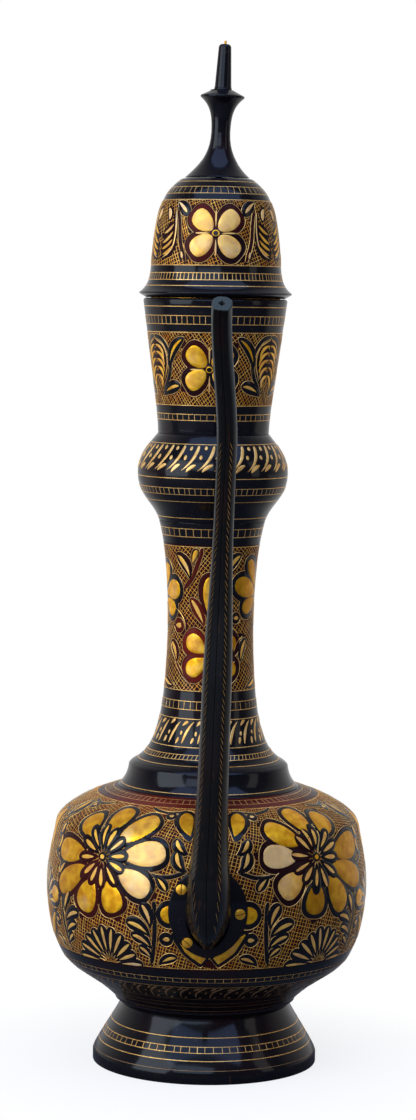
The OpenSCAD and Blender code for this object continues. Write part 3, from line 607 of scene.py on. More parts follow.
def leaves(panel, rows, slit=0.34, start=0.34, end=0.86, full=0.6, blunt=0.6, tint=0.0, pale=0.2):
    """Dark drops with a slit of brass from start to end along them, a share of their width."""
    rows = np.atleast_2d(np.asarray(rows, float))
    shape = {"full": full, "blunt": blunt}
    on = panel["on"]
    panel["dark"].append(stroke(on, bent(rows), swell(rows, **shape), DARK, 0.05, tone=tint))
    spine = bent(rows, count=41)
    ends = spine[:, int(40 * start)], spine[:, int(40 * end)]
    inner = np.column_stack([*ends, slit * rows[:, 4], 0.6 * rows[:, 5]])
    width = swell(inner, full=0.62, blunt=0.6, count=11)
    panel["bright"].append(stroke(on, bent(inner, count=11), width, BRIGHT, tone=pale))
    claim(panel, rows, 0.0, shape)


def tapered(places, width, rise, start):
    """A line through some places, with half an even width that is drawn in at both ends."""
    path = through(places)[None]
    s = np.linspace(0, 1, path.shape[1])
    return path, (width / 2 * np.minimum(1, rise * np.minimum(s, 1 - s) + start) ** 0.5)[None]


def stem(panel, places, width, tint=0.0):
    """A dark line of even width through some places, with a fine cut on both sides."""
    path, half = tapered(places, width, 8, 0.2)
    panel["dark"].append(stroke(panel["on"], path, half, DARK, tone=tint))
    fine_round(panel, path, half + FINE, stands(panel, path, half + 0.3))


def thread(panel, places, width, pale=0.3):
    """A bare brass line through some places, on ground that the hatching leaves free."""
    path, half = tapered(places, width, 5, 0.15)
    panel["bright"].append(stroke(panel["on"], path, half, BRIGHT, tone=pale, columns=THIN))
    stands(panel, path, half + 0.9)


def ribs(panel, rows, full=0.5, blunt=0.7, pale=0.1, clear=1.0):
    """Bare brass strokes without a dark edge of their own, on free ground."""
    shape = {"full": full, "blunt": blunt}
    width = swell(rows, **shape)
    panel["bright"].append(stroke(panel["on"], bent(rows), width, BRIGHT, 0.05, tone=pale))
    stands(panel, bent(rows, clear, 30), swell(rows, clear, count=30, **shape))


def rays(middle, turns, starts, tips, widths, bend=0.0):
    """Rows of drops that point away from a middle: turns in degrees, starts, tips and widths in mm."""
    turns, starts, tips, widths = np.broadcast_arrays(np.radians(turns), starts, tips, widths)
    way = np.stack([np.cos(turns), np.sin(turns)], -1)
    ends = [np.asarray(middle) + way * starts[:, None], np.asarray(middle) + way * tips[:, None]]
    return np.column_stack([*ends, widths, np.full(len(turns), bend)])


def disc(middle, radius):
    """The row of a round drop."""
    return rays(middle, [0], -radius, radius, 2 * radius)


def eye(panel, middle, discs):
    """Discs on top of each other, each with its layer, radius and level."""
    for layer, radius, level in discs:
        rows = disc(middle, radius)
        panel[layer].append(stroke(panel["on"], bent(rows), swell(rows, full=0.5), level))


def shifted(rows, x, y=0.0):
    """Rows moved along the wall."""
    return np.asarray(rows, float) + [x, y, x, y, 0, 0]


def mirrored(rows):
    """Rows turned over about x = 0."""
    return np.asarray(rows, float) * [-1, 1, -1, 1, 1, -1]


# %% Hatching
def hatch(panel, slope, pitch, half, step=0.7, sway=0.25):
    """Parallel cuts across a panel, left out where a drop stands.

    A line starts on the panel's foot and leans by slope degrees; a slow sine and its own small offset
    give it the engraver's unsteady hand.
    """
    on = panel["on"]
    rise, top = np.sin(np.radians(slope)), on["arc"][-1]
    count = int(on["round"] * rise / pitch)
    start = np.arange(count)[:, None] * on["round"] / count - on["round"] / 2
    y = np.linspace(0, top, int(top / rise / step))[None]
    wobble = sway * np.sin(y / 7 + rng.uniform(0, 6.3, (count, 1))) + rng.normal(0, 0.12, (count, 1))
    x = start + y / np.tan(np.radians(slope)) + wobble
    path = np.stack([x, y + 0 * x], -1)
    clear = outside(panel, path.reshape(-1, 2)).reshape(path.shape[:2])
    keep = clear[:, 1:] & clear[:, :-1]
    width = half * rng.uniform(0.75, 1.25, (count, 1))
    tone = rng.uniform(-0.3, 0.3, count)
    return stroke(on, path, width, GROUND, keep=keep, tone=tone, columns=THIN)


# %% Bands
def rings(on, heights, half=0.32, level=0.06):
    """Lines cut all the way round at given heights."""
    x = np.linspace(-on["round"] / 2, on["round"] / 2, ROUND, endpoint=False)
    y = height_on(on, np.asarray(heights))
    path = np.stack(np.broadcast_arrays(x, y[:, None]), -1)
    flat = path[:, :, None] + np.array([0.0, 1.0]) * half * THIN[:, None]
    height = np.where(THIN == 0, level, SUNK)
    points = lay(on, flat[..., 0], flat[..., 1], height + 0 * flat[..., 0])
    return whole(points, grid_faces(ROUND, len(THIN), len(path), close_rows=True))


def rungs(on, low, high, pitch, slant=0.0, half=0.27, level=0.06):
    """Short cuts between two heights, a pitch in degrees apart and slanted sideways by slant mm."""
    count = round(360 / pitch)
    step = on["round"] / count
    x = np.arange(count) * step - on["round"] / 2 + rng.normal(0, 0.06 * step, count)
    s = np.linspace(0, 1, 6)
    y = height_on(on, low) + (height_on(on, high) - height_on(on, low)) * s
    path = np.stack(np.broadcast_arrays(x[:, None] + slant * (s - 0.5), y), -1)
    return stroke(on, path, half * rng.uniform(0.8, 1.25, (count, 1)), level, columns=THIN)


def ladder(on, low, high, pitch, slant=0.0, half=0.27):
    """Two lines with rungs between them."""
    return [rings(on, [low, high], half), rungs(on, low, high, pitch, slant, half)]


def commas(on, rows, count, full=0.42, blunt=0.7, level=0.07):
    """Comma strokes repeated round a wall, each with a little of the hand's unsteadiness."""
    steps = (np.arange(count) - count // 2) * on["round"] / count
    rows = np.concatenate([shifted(rows, x) for x in steps])
    rows[:, :4] += rng.normal(0, 0.18, (len(rows), 4))
    return stroke(on, bent(rows), swell(rows, full=full, blunt=blunt), level, 0.05)


def flush(name, parts, body, finish, slot="engraved_brass"):
    """One piece from a list of strokes."""
    return piece(name, *gather(parts), body, finish, slot, crease=60)


def panel_pieces(name, panel, body, cuts, bands):
    """The pieces of one panel: hatched ground, standing lacquer, bare petals and fine lines."""
    flush(name + "_hatching", cuts, body, HATCH_BRASS)
    flush(name + "_standing_lacquer", panel["dark"], body, LACQUER, "black_lacquer")
    flush(name + "_petals", panel["bright"], body, PETAL_BRASS)
    flush(name + "_cut_lines", fine_lines(panel) + bands, body, LINE_BRASS)


# %% [markdown]
# ## The belly
# The belly carries the main design: large flowers with nine bright petals round a dark rosette, half
# palmettes under them, and a leafy spray between. The photograph shows two flowers and the sprays
# beside the spout. The back repeats them, as such vessels do, with a palmette where no plate is. Rows
# are in mm on the unrolled wall, from its foot line, with x = 0 in the middle of the spout.

# %% Belly flowers
BELLY = new_panel("belly_upper")
# The tone of each petal in these flowers is painted light and shade: petals are made brighter or darker
# one by one as light falls on them, and the flowers on the back repeat them.
LEFT_FLOWER = {
    "turns": [83, 42, 8, -27, -68, -112, -149, 181, 133],
    "tips": [30.5, 37, 36.5, 32, 28, 30, 38.5, 37.5, 28.5],
    "widths": [15, 14, 13, 13, 13.5, 14.5, 13.5, 13, 14.5],
    "pale": [-0.25, 0.1, 0.45, 0.5, 0.0, 0.0, -0.3, -0.3, -0.3],
    "core": 0.15, "thin": 0.30, "thin_side": -125.0,
}
RIGHT_FLOWER = {
    "turns": [99, 53, 4, -23, -55, -97, -145, 175, 146],
    "tips": [31, 30, 39, 41, 34, 28, 28.5, 32, 33.5],
    "widths": [15.5, 14.5, 14.5, 13.5, 14, 13.5, 13.5, 12.5, 13.5],
    "pale": [-0.2, -0.35, -0.5, -0.5, -0.4, -0.55, 0.2, 0.6, -0.05],
    "core": 0.25, "thin": 0.10, "thin_side": 165.0,
}
FLOWER_AT = [(-58.0, 52.5), (60.0, 53.5), (177.0, 52.5), (-175.0, 53.5)]
LOBES = 12
OVER = BRIGHT + 0.14


def plum(shape, turns):
    """How thin the lacquer of a flower is: a cosine that peaks on one side of it."""
    return shape["thin"] * np.clip(np.cos(np.radians(np.asarray(turns) - shape["thin_side"])), 0, 1)


def big_flower(panel, middle, shape, turn):
    """Nine petals, then twelve dark lobes with brass cores over their feet, and a ringed middle."""
    on = panel["on"]
    rows = rays(middle, shape["turns"], 12.5, shape["tips"], shape["widths"])
    petals(panel, rows, 2.1, 0.64, 0.37, plum(shape, shape["turns"]), shape["pale"])
    turns = turn + np.arange(LOBES) * 360 / LOBES + rng.normal(0, 3, LOBES)
    lobes = rays(middle, turns, 2.2, rng.uniform(15.5, 18.5, LOBES), 7.0)
    width = swell(lobes, full=0.68)
    panel["dark"].append(stroke(on, bent(lobes), width, OVER, 0.05, tone=plum(shape, turns)))
    own = stands(panel, bent(lobes, CLEAR, 30), swell(lobes, CLEAR, full=0.68, count=30))
    fine_round(panel, bent(lobes, 0.25, 20), swell(lobes, 0.25, full=0.68, count=20), own, OVER + 0.02)
    cores = rays(middle, turns, 5.8, rng.uniform(13.6, 16.2, LOBES), rng.uniform(1.7, 2.8, LOBES))
    width = swell(cores, full=0.62)
    panel["bright"].append(stroke(on, bent(cores), width, OVER + 0.06, tone=shape["core"]))
    eye(panel, middle, (("dark", 2.4, OVER + 0.08), ("bright", 1.3, OVER + 0.13)))


for middle, shape, turn in zip(FLOWER_AT, [LEFT_FLOWER, RIGHT_FLOWER] * 2, (7, 20, 12, 25)):
    big_flower(BELLY, middle, shape, turn)

# %% Belly palmettes
PALMETTE_TURNS = [4, 23, 42, 61, 80, 99, 119, 139, 158, 177]
PALMETTE_TIPS = [20, 18, 18.5, 19, 19.5, 20, 19.5, 20, 21.5, 23]


def palmette(panel, middle):
    """Ten slit leaves that fan out from a middle."""
    fan = rays(middle, PALMETTE_TURNS, 3.0, PALMETTE_TIPS, 6.8)
    leaves(panel, fan, 0.29, 0.3, 0.88, 0.72, 0.5, pale=0.3)


for x, _ in FLOWER_AT:
    palmette(BELLY, (x + 4.5, -0.5))

# %% Belly sprays
SPRAY = [
    [-28.5, 20.0, -33.5, 32.5, 7.0, -0.12], [-28.3, 15.5, -41.5, 22.5, 7.2, -0.15],
    [-27.8, 9.3, -39.0, 16.5, 6.4, -0.15], [-28.3, 4.3, -35.0, 10.8, 5.4, -0.12],
]
HIGH_PETALS = [[-9.5, 66.5, -14.5, 83.0, 9.4, 0.05]]
LOW_RIBBON = [(-1.8, 5.0), (-5.6, 8.0), (-9.2, 11.3), (-12.4, 15.0), (-15.8, 18.6)]
LOW_RIBBON_WIDTHS = [4.6, 5.2, 5.6, 3.4, 0.8]
HIGH_RINGS, LOW_RINGS = disc((-23.7, 80.0), 3.2), disc((-20.4, 15.6), 3.5)
LOW_DISCS = disc((-18.4, 28.0), 4.7)
HIGH_LEAVES = [
    [-10.0, 57.5, -16.5, 65.0, 6.4, 0.2], [-10.5, 48.8, -15.8, 59.0, 6.6, 0.2],
    [-27.5, 46.5, -20.6, 39.0, 5.4, 0.1],
]
LOW_LEAVES = [[-25.0, 1.4, -15.0, 6.2, 5.2, 0.12]]
HIGH_STALKS = [
    [-39.0, 86.0, -16.0, 84.6, 2.0, -0.12], [-28.8, 46.6, -10.5, 49.8, 2.0, -0.12],
    [-17.5, 84.0, -9.0, 64.0, 2.0, -0.2],
]
SPRAY_STALK = [[-29.0, 2.0, -26.7, 34.2, 2.2, -0.05]]
HIGH_NUDGE, LOW_NUDGE, SPRAY_NUDGE, RIBBON_NUDGE = 4.0, 1.2, 3.0, 2.6


def ribbon(panel, places, widths, edge=1.5, pale=0.0):
    """Brass through some places with a width at each, in a dark edge with a fine line round it."""
    places, widths = np.asarray(places, float), np.asarray(widths, float)
    s = np.linspace(0, 1, 40)
    half = np.interp(s, np.linspace(0, 1, len(widths)), widths / 2)[None]
    path = through(places)[None]
    panel["bright"].append(stroke(panel["on"], path, half, BRIGHT, 0.08, tone=pale))
    ends = edge * np.array([places[0] - places[1], places[-1] - places[-2]])
    ends = ends / np.linalg.norm(ends / edge, axis=1, keepdims=True)
    path = through([places[0] + ends[0], *places, places[-1] + ends[1]])[None]
    round_end = np.minimum(1, 12 * np.minimum(s, 1 - s) + 0.3) ** 0.5
    half = (half + edge) * round_end
    panel["dark"].append(stroke(panel["on"], path, half, DARK))
    fine_round(panel, path, half + FINE, stands(panel, path, half + CLEAR))


def spout_side(panel, x, high_drops):
    """The sprays, petals, rings and leaves on both sides of a place; the right side is nudged."""
    for turn, side, shift, pale in ((np.asarray, 1, 0.0, -0.25), (mirrored, -1, 1.0, -0.1)):
        high, low, spray = (x + shift * nudge for nudge in (HIGH_NUDGE, LOW_NUDGE, SPRAY_NUDGE))
        stalks = np.concatenate([shifted(turn(HIGH_STALKS), high), shifted(turn(SPRAY_STALK), spray)])
        for stalk in stalks:
            stem(panel, bent(stalk, count=5)[0], stalk[4])
        leaves(panel, shifted(turn(SPRAY), spray), 0.31, 0.28, 0.86, 0.68, 0.5, pale=0.25)
        high_drops(panel, shifted(turn(HIGH_PETALS), high), pale=pale)
        places = np.array(LOW_RIBBON) * [side, 1] + [x + shift * RIBBON_NUDGE, 0]
        ribbon(panel, places[::side], LOW_RIBBON_WIDTHS[::side], pale=0.05)
        petals(panel, shifted(turn(LOW_DISCS), low), 2.2, 0.5, pale=0.0)
        for rows, nudged in ((HIGH_RINGS, high), (LOW_RINGS, low)):
            leaves(panel, shifted(turn(rows), nudged), 0.36, 0.34, 0.68, 0.5, 0.5)
        leaves(panel, shifted(turn(HIGH_LEAVES), high))
        leaves(panel, shifted(turn(LOW_LEAVES), low))


spout_side(BELLY, 0.0, petals)
for x in (117.0, 253.0, -117.0):
    spout_side(BELLY, x, leaves)
for x in (119.0, -115.0):
    palmette(BELLY, (x, 23.0))
    petals(BELLY, [[x, 48.0, x, 70.0, 8.6, 0.02]], pale=0.1)

belly_hatch = [hatch(BELLY, 74, 1.6, 0.24), hatch(BELLY, 164, 1.8, 0.19)]
panel_pieces("belly", BELLY, "vessel", belly_hatch, [rings(BELLY["on"], [61.7, 136.6])])

# %% [markdown]
# ## The neck
# Four flowers go round the neck, two low and two high, with leaves, rings and stems between them.
# Their standing edges are maroon where the lacquer was thin, most of all beside the spout. Half of the
# panel is drawn, and the other half is the same rows moved half way round, as an engraver repeats a
# pattern.

# %% Neck panel
NECK = new_panel("neck_column")
LOW_FLOWER = rays((0.3, 18.2), [149, 214, 31, -34], 2.5, 16.3, 10.0)
HIGH_TIPS, HIGH_WIDTHS = [25.4, 19.6, 23.9, 19.4, 16.6, 18.0, 16.0], [11, 8.5, 8, 11, 9, 8, 9]
HIGH_FLOWER = rays((37.9, 47.0), [164, 199, 130, 13, -30, 62, -88], 4.0, HIGH_TIPS, HIGH_WIDTHS)
NECK_TALL = [[0.2, 35.5, -0.6, 57.3, 8.3, 0.02]]
NECK_LEAVES = [
    [-3.8, 32.4, -12.0, 46.4, 6.4, -0.06], [-12.0, 55.5, -20.6, 68.3, 6.8, -0.15],
    [-21.2, 13.6, -26.8, 24.4, 6.0, -0.15], [-22.0, 2.4, -33.5, 5.6, 4.8, 0.10],
    [18.3, 14.2, 22.6, 26.0, 5.4, 0.12], [21.5, 2.0, 32.0, 6.0, 4.6, -0.10],
    [4.4, 32.4, 11.8, 44.0, 6.0, 0.06], [8.0, 56.5, 16.5, 68.5, 6.2, 0.15],
    [9.5, 6.0, 15.0, 15.5, 4.6, 0.2],
]
NECK_RINGS = np.concatenate([disc((-20.1, 32.4), 3.8), disc((14.8, 36.7), 2.9)])
NECK_BUDS = [[-10.4, 64.0, -7.8, 70.8, 2.6, 0]]
NECK_STEMS = [
    ([(-15.7, 51.0), (-10.8, 56.5), (-7.3, 64.0), (-4.8, 71.8)], 2.2),
    ([(-22.0, 15.0), (-16.5, 8.5), (-10.8, 4.0)], 1.3),
]
NECK_THREADS = [
    [(-31.0, 42.8), (-21.5, 40.3), (-16.4, 35.5), (-15.2, 30.0)],
    [(13.5, 20.0), (15.8, 24.6), (20.0, 27.4)],
]


def neck_maroon(rows, x):
    """Maroon near the spout on the left side, fading round and up the neck."""
    middle_x, middle_y = rows[:, [0, 2]].mean(1) + x, rows[:, [1, 3]].mean(1)
    return hump(middle_x, -10, 14) * hump(middle_y, 26, 24)


def neck_half(panel, x):
    """One low flower, one high flower and all that stands between them."""
    # The tones of the two flowers' petals are painted light and shade, petal by petal, on both halves.
    for draw, rows, extra in (
        (petals, LOW_FLOWER, {"edge": 2.4, "pale": [0.1, 0.0, -0.4, -0.4]}),
        (petals, HIGH_FLOWER, {"edge": 2.2, "pale": [-0.5, -0.6, -0.6, 0.0, 0.0, 0.0, 0.0]}),
        (petals, NECK_TALL, {"edge": 2.3, "pale": 0.1}),
        (leaves, NECK_LEAVES, {"slit": 0.38, "start": 0.2}),
        (leaves, NECK_RINGS, {"full": 0.5, "blunt": 0.5, "slit": 0.4, "start": 0.28, "end": 0.72}),
        (petals, NECK_BUDS, {"edge": 0.7}),
    ):
        rows = np.asarray(rows, float)
        draw(panel, shifted(rows, x), tint=neck_maroon(rows, x), **extra)
    for places, width in NECK_STEMS:
        stem(panel, np.add(places, [x, 0]), width, 0.5)
    for places in NECK_THREADS:
        thread(panel, np.add(places, [x, 0]), 0.8)


for x in (0.0, NECK["on"]["round"] / 2):
    neck_half(NECK, x)
neck_hatch = [hatch(NECK, 52, 1.75, 0.21), hatch(NECK, 140, 1.75, 0.20)]
panel_pieces("neck", NECK, "vessel", neck_hatch, [rings(NECK["on"], [190.1, 262.0])])

# %% [markdown]
# ## The cup and the lid
# The cup and the lid each have three flowers of four broad petals. Between two flowers stands a pair of
# feathers, back to back: a long bent stalk with strokes of brass fanning out of it. One feather is
# drawn and mirrored, and a third of the panel is repeated round the wall.

# %% Clovers
def clover(panel, middle, turns, tips, widths, edge, tint, pale):
    """Four broad petals with a thin cut between each two, round an eye with a brass ring."""
    petals(panel, rays(middle, turns, 2.3, tips, widths), edge, 0.62, 0.34, tint, pale)
    cuts = rays(middle, [90, 180, 270, 360], 3.0, [11.5, 10.5, 11.0, 10.5], 0.9)
    panel["bright"].append(stroke(panel["on"], bent(cuts), swell(cuts, full=0.6), BRIGHT, tone=0.4))
    eye(panel, middle, (("dark", 2.5, 0.32), ("bright", 1.9, 0.35), ("dark", 1.3, 0.38)))


def both_sides(rows, middle_x):
    """Rows and their mirror image about a middle."""
    away = shifted(rows, -middle_x)
    return np.concatenate([shifted(away, middle_x), shifted(mirrored(away), middle_x)])


def both_ways(places, middle_x):
    """A line of places and its mirror image about a middle."""
    places = np.asarray(places, float)
    return places, places * [-1, 1] + [2 * middle_x, 0]


# %% Cup panel
REPEATS = 3
CUP = new_panel("neck_cup")
CUP_MIDDLE = -2.4
CUP_LEAVES = both_sides(
    [[-26.4, 16.0, -16.2, 33.4, 5.6, 0.16], [-33.6, 4.4, -19.8, 9.6, 6.4, 0.10]], CUP_MIDDLE)
CUP_RIBS = both_sides(
    [[-30.6, 23.0, -37.4, 29.8, 1.6, -0.22], [-30.4, 19.6, -37.3, 26.4, 1.6, -0.20],
     [-30.9, 16.4, -37.2, 22.8, 1.6, -0.20], [-32.0, 13.2, -37.2, 19.0, 1.6, -0.20],
     [-34.0, 8.6, -37.4, 15.0, 1.8, -0.25]], CUP_MIDDLE)
CUP_STALK = [(-33.5, 6.0), (-27.4, 14.5), (-25.9, 24.0), (-30.5, 32.0), (-37.6, 34.4)]
CUP_LINE = [(-31.4, 12.5), (-28.6, 19.0), (-28.4, 25.0), (-31.0, 29.8), (-37.4, 32.8)]

for k in range(REPEATS):
    x = k * CUP["on"]["round"] / REPEATS
    # The front copy, k = 0, gets a tone for each petal, painted light and shade; the other copies share
    # one.
    pale = [0.05, 0.1, 0.1, 0.2] if k == 0 else 0.05
    clover(CUP, (x - 3.0, 17.8), [138, 213, 42, -33], 15.0, 10.4, 2.1, [0.22, 0.10, 0.0, 0.0], pale)
    leaves(CUP, shifted(CUP_LEAVES, x), 0.28, 0.34, 0.86, pale=0.0)
    for stalk, line in zip(both_ways(CUP_STALK, CUP_MIDDLE), both_ways(CUP_LINE, CUP_MIDDLE)):
        stem(CUP, stalk + [x, 0], 2.2)
        thread(CUP, line + [x, 0], 0.8)
    ribs(CUP, shifted(CUP_RIBS, x), clear=1.4)
cup_hatch = [hatch(CUP, 124, 1.5, 0.23), hatch(CUP, 40, 1.7, 0.18)]
CUP_ALL = wall("neck_cup", 319.0, 383.0)
cup_bands = ladder(CUP_ALL, 371.9, 376.0, 5.2) + ladder(CUP_ALL, 324.6, 327.6, 6.7)
panel_pieces("cup", CUP, "vessel", cup_hatch, cup_bands + [rings(CUP_ALL, [332.0, 367.9, 380.5])])

# %% Lid panel
LID = new_panel("lid_dome")
LID_MIDDLE = -0.6
LID_DROPS = both_sides([[-25.0, 31.6, -15.8, 24.2, 6.4, 0.06]], LID_MIDDLE)
LID_BUDS = both_sides(
    [[-30.9, 28.0, -28.8, 22.2, 2.6, 0.1], [-17.9, 3.0, -18.6, 6.4, 1.3, 0]], LID_MIDDLE)
LID_RIBS = both_sides(
    [[-25.0, 19.9, -31.7, 15.3, 1.5, 0.08], [-25.0, 16.1, -32.4, 10.6, 1.5, 0.08],
     [-24.8, 12.4, -32.6, 7.6, 1.5, 0.08], [-24.2, 9.5, -31.5, 5.0, 1.5, 0.08]], LID_MIDDLE)
LID_LINE = [(-24.6, 26.0), (-23.3, 18.2), (-24.0, 10.4), (-27.0, 6.0), (-31.6, 3.5)]
LID_STALK = [(-23.4, 28.4), (-21.0, 20.0), (-19.6, 11.0), (-16.4, 1.6)]

for k in range(REPEATS):
    x = k * LID["on"]["round"] / REPEATS
    # The front copy, k = 0, gets a tone for each petal, painted light and shade; the other copies share
    # one.
    pale = [0.3, 0.4, 0.25, 0.35] if k == 0 else 0.25
    clover(LID, (x - 0.7, 15.5), [138, 41, 218, -42], 15.4, 10.8, 2.2, [0.5, 0.2, 0.35, 0.05], pale)
    leaves(LID, shifted(LID_DROPS, x), 0.3, 0.16, 0.76, pale=0.4)
    ribs(LID, shifted(LID_RIBS, x), clear=1.9)
    ribs(LID, shifted(LID_BUDS, x), pale=0.5)
    for line, stalk in zip(both_ways(LID_LINE, LID_MIDDLE), both_ways(LID_STALK, LID_MIDDLE)):
        thread(LID, line + [x, 0], 1.0, 0.5)
        stem(LID, stalk + [x, 0], 2.0, 0.2)
lid_hatch = [hatch(LID, 112, 1.5, 0.24), hatch(LID, 20, 1.7, 0.20)]
LID_ALL = wall("lid_dome", 389.0, 443.0)
lid_bands = ladder(LID_ALL, 393.6, 397.0, 3.8) + ladder(LID_ALL, 436.0, 439.3, 7.7)
panel_pieces("lid", LID, "lid", lid_hatch, lid_bands + [rings(LID_ALL, [390.7, 400.7, 432.8, 442.0])])

# %% [markdown]
# ## Bands
# Between the panels the lathe itself held the graver: rings, and ladders of two rings with rungs. Three
# borders of comma strokes, on the knop, at the foot of the neck and on the bowl, are cut free hand.
# Rings could be turned with the shells, but as strokes of their own they keep their own metal.

# %% Knop and neck
KNOP = wall("neck_knop", 275.2, 316.5)
KNOP_STROKES = [[0.0, 0.0, -8.2, -13.6, 1.9, 0.12]]
KNOP_COMMAS = [[-0.6, -10.5, -5.7, -14.3, 2.0, -0.08]]
KNOP_DOTS = [[4.1, -0.2, 4.0, -2.6, 1.8, 0], [1.8, -5.4, 1.6, -7.8, 1.8, 0]]
knop_top = height_on(KNOP, 312.4)
knop_bands = ladder(KNOP, 288.4, 291.6, 4.6) + [rings(KNOP, [276.3, 284.8, 296.5, 313.1])]
for rows, full, blunt in ((KNOP_STROKES, 0.22, 0.8), (KNOP_COMMAS, 0.42, 0.7), (KNOP_DOTS, 0.5, 0.5)):
    knop_bands.append(commas(KNOP, shifted(rows, 0, knop_top), 28, full, blunt))
flush("knop_cut_lines", knop_bands, "vessel", LINE_BRASS)

NECK_LOW = wall("neck_column", 153.6, 189.0)
NECK_STROKES = [[0.0, 0.0, -7.8, -11.4, 2.0, -0.10]]
NECK_COMMAS = [[6.1, -0.1, 2.0, -2.3, 1.9, -0.1], [0.2, -8.2, -1.4, -11.4, 2.0, 0]]
NECK_DOTS = [[1.7, -5.0, 1.0, -7.2, 1.9, 0]]
neck_top = height_on(NECK_LOW, 175.2)
neck_bands = ladder(NECK_LOW, 180.8, 184.9, 8.1) + ladder(NECK_LOW, 157.0, 159.2, 3.9, 0.9)
neck_bands.append(rings(NECK_LOW, [154.3, 162.7, 176.3]))
for rows, full, blunt in ((NECK_STROKES, 0.6, 0.6), (NECK_COMMAS, 0.42, 0.7), (NECK_DOTS, 0.5, 0.5)):
    neck_bands.append(commas(NECK_LOW, shifted(rows, 0, neck_top), 21, full, blunt))
neck_bands += ladder(wall("neck_column", 262.5, 273.5), 266.9, 270.9, 8.8)
flush("neck_bands", neck_bands, "vessel", LINE_BRASS)

# %% Shoulder, bowl and foot
SHOULDER = wall("belly_upper", 136.9, 140.1)
shoulder_bands = ladder(SHOULDER, 138.1, 139.5, 3.6, half=0.22)
shoulder_bands.append(rings(wall("shoulder_collar", 140.6, 151.0), [141.8], 0.28))
flush("shoulder_cut_lines", shoulder_bands, "vessel", LINE_BRASS)

BOWL = wall("belly_lower", 32.5, 56.8)
BOWL_COMMAS = [[0.0, 0.0, -6.4, -12.5, 1.3, -0.16], [5.2, -0.4, 2.6, -2.6, 1.4, -0.1]]
BOWL_DOTS = [[0.2, -5.0, -0.8, -6.6, 1.2, 0], [-2.6, -11.0, -4.2, -12.8, 1.3, 0]]
bowl_top = height_on(BOWL, 50.6)
bowl_faint = [rings(BOWL, [42.6, 39.6, 37.4, 34.4], 0.25)]
for rows, full in ((BOWL_COMMAS, 0.42), (BOWL_DOTS, 0.5)):
    bowl_faint.append(commas(BOWL, shifted(rows, 0, bowl_top), 52, full, 0.6))
flush("bowl_faint_lines", bowl_faint, "vessel", DIM_BRASS)
bowl_bands = ladder(BOWL, 54.3, 56.5, 3.2, half=0.22) + [rings(BOWL, [51.2], 0.28)]
flush("bowl_cut_lines", bowl_bands, "vessel", LINE_BRASS)

FOOT = wall("foot", 5.5, 28.0)
foot_bands = ladder(FOOT, 14.6, 17.3, 4.6) + [rings(FOOT, [21.3, 11.1])]
flush("foot_cut_lines", foot_bands, "vessel", LINE_BRASS)
flush("foot_faint_line", [rings(FOOT, [6.8], 0.25)], "vessel", DIM_BRASS)

# %% [markdown]
# ## The spout
# The spout is cast in two halves, which meet down its front and back. It leaves the belly level,
# turns up in a tight bend, and rises in a long slim swan's neck to a small open mouth. It was bent by
# hand: it sways to the right on its way up, comes back near the tip, and its front is twisted a
# little. A curve with a bevel keeps one section, and this one changes all the way up. So a section with
# a flat front, two sloping cheeks and a round back is carried along that run instead. Each station has
# a place, a heading, two half sizes, the share of the flat front, a sway and a twist.

# %% The run of the spout and the handle
def cubic(a, b, leave, arrive, count):
    """A cubic curve from a to b; leave and arrive are shares of the step, per axis, for its handles."""
    a, b = np.asarray(a, float), np.asarray(b, float)
    p, q = a + np.asarray(leave) * (b - a), b - np.asarray(arrive) * (b - a)
    t = np.linspace(0, 1, count)[:, None]
    return (1 - t) ** 3 * a + 3 * (1 - t) ** 2 * t * p + 3 * (1 - t) * t**2 * q + t**3 * b


def ease(t):
    """A smooth step from 0 to 1."""
    t = np.clip(t, 0, 1)
    return t * t * (3 - 2 * t)


SEAT_OUT = -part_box("spout_plate")[0].y / MM
Z_PLATE, Z_PIVOT = 91.0, 113.0
ROOT_HALF, BEND_HALF = (11.0, 17.5), (9.8, 10.4)
BEND_REACH, BEND_STEPS = 19.0, 16
BEND_END = np.array([SEAT_OUT + BEND_REACH, Z_PIVOT])
BEND_T = np.linspace(0, 1, BEND_STEPS)


def lower_bend():
    """Stations of the bend: a fan about a pivot above the root, from straight out to straight up."""
    a = np.radians(90 * BEND_T)
    reach = Z_PIVOT - Z_PLATE + (BEND_REACH - Z_PIVOT + Z_PLATE) * BEND_T
    half = [r + (b - r) * ease(BEND_T) for r, b in zip(ROOT_HALF, BEND_HALF)]
    return np.column_stack([SEAT_OUT + reach * np.sin(a), Z_PIVOT - reach * np.cos(a), a, *half])


def headed(run, last):
    """Headings along a run of (out, up) points in radians; the last one is given."""
    step = np.gradient(run, axis=0)
    heading = np.arctan2(step[:, 1], step[:, 0])
    heading[-1] = last
    return heading


def dressed(stations, share, sway, twist):
    """Stations with their share of the front, sway and twist."""
    extra = np.broadcast_arrays(share, sway, twist, stations[:, 0])[:3]
    return np.column_stack([stations, *extra])


print(f"seat of the spout {SEAT_OUT:.2f} mm out")

# %% Stations of the spout
TIP, TIP_LEAN = np.array([97.0, 382.1]), np.radians(43)
SLIM_AT, DRAW_AT = 0.62, 0.32
MID_W, SLIM_W, TIP_W = 6.9, 4.8, 4.9
FLARE = 0.09
ROOT_SHARE, FRONT_SHARE = 0.26, 0.72
SWAY, SWAY_BACK, BACK_AT = 7.5, 5.4, 0.74
TWIST = np.radians(7)
SLIM = np.array([83.0, Z_PIVOT + SLIM_AT * (TIP[1] - Z_PIVOT)])
swan_low = cubic(BEND_END, SLIM, [0, 0.3], [0.06, 0.4], 40)
tip_handle = 20 * np.array([np.sin(TIP_LEAN), np.cos(TIP_LEAN)])
slim_handle = np.array([-0.5, 0.45 * (TIP[1] - SLIM[1])])
swan_high = cubic(SLIM, TIP, slim_handle / (TIP - SLIM), tip_handle / (TIP - SLIM), 30)
swan = np.concatenate([swan_low, swan_high[1:]])
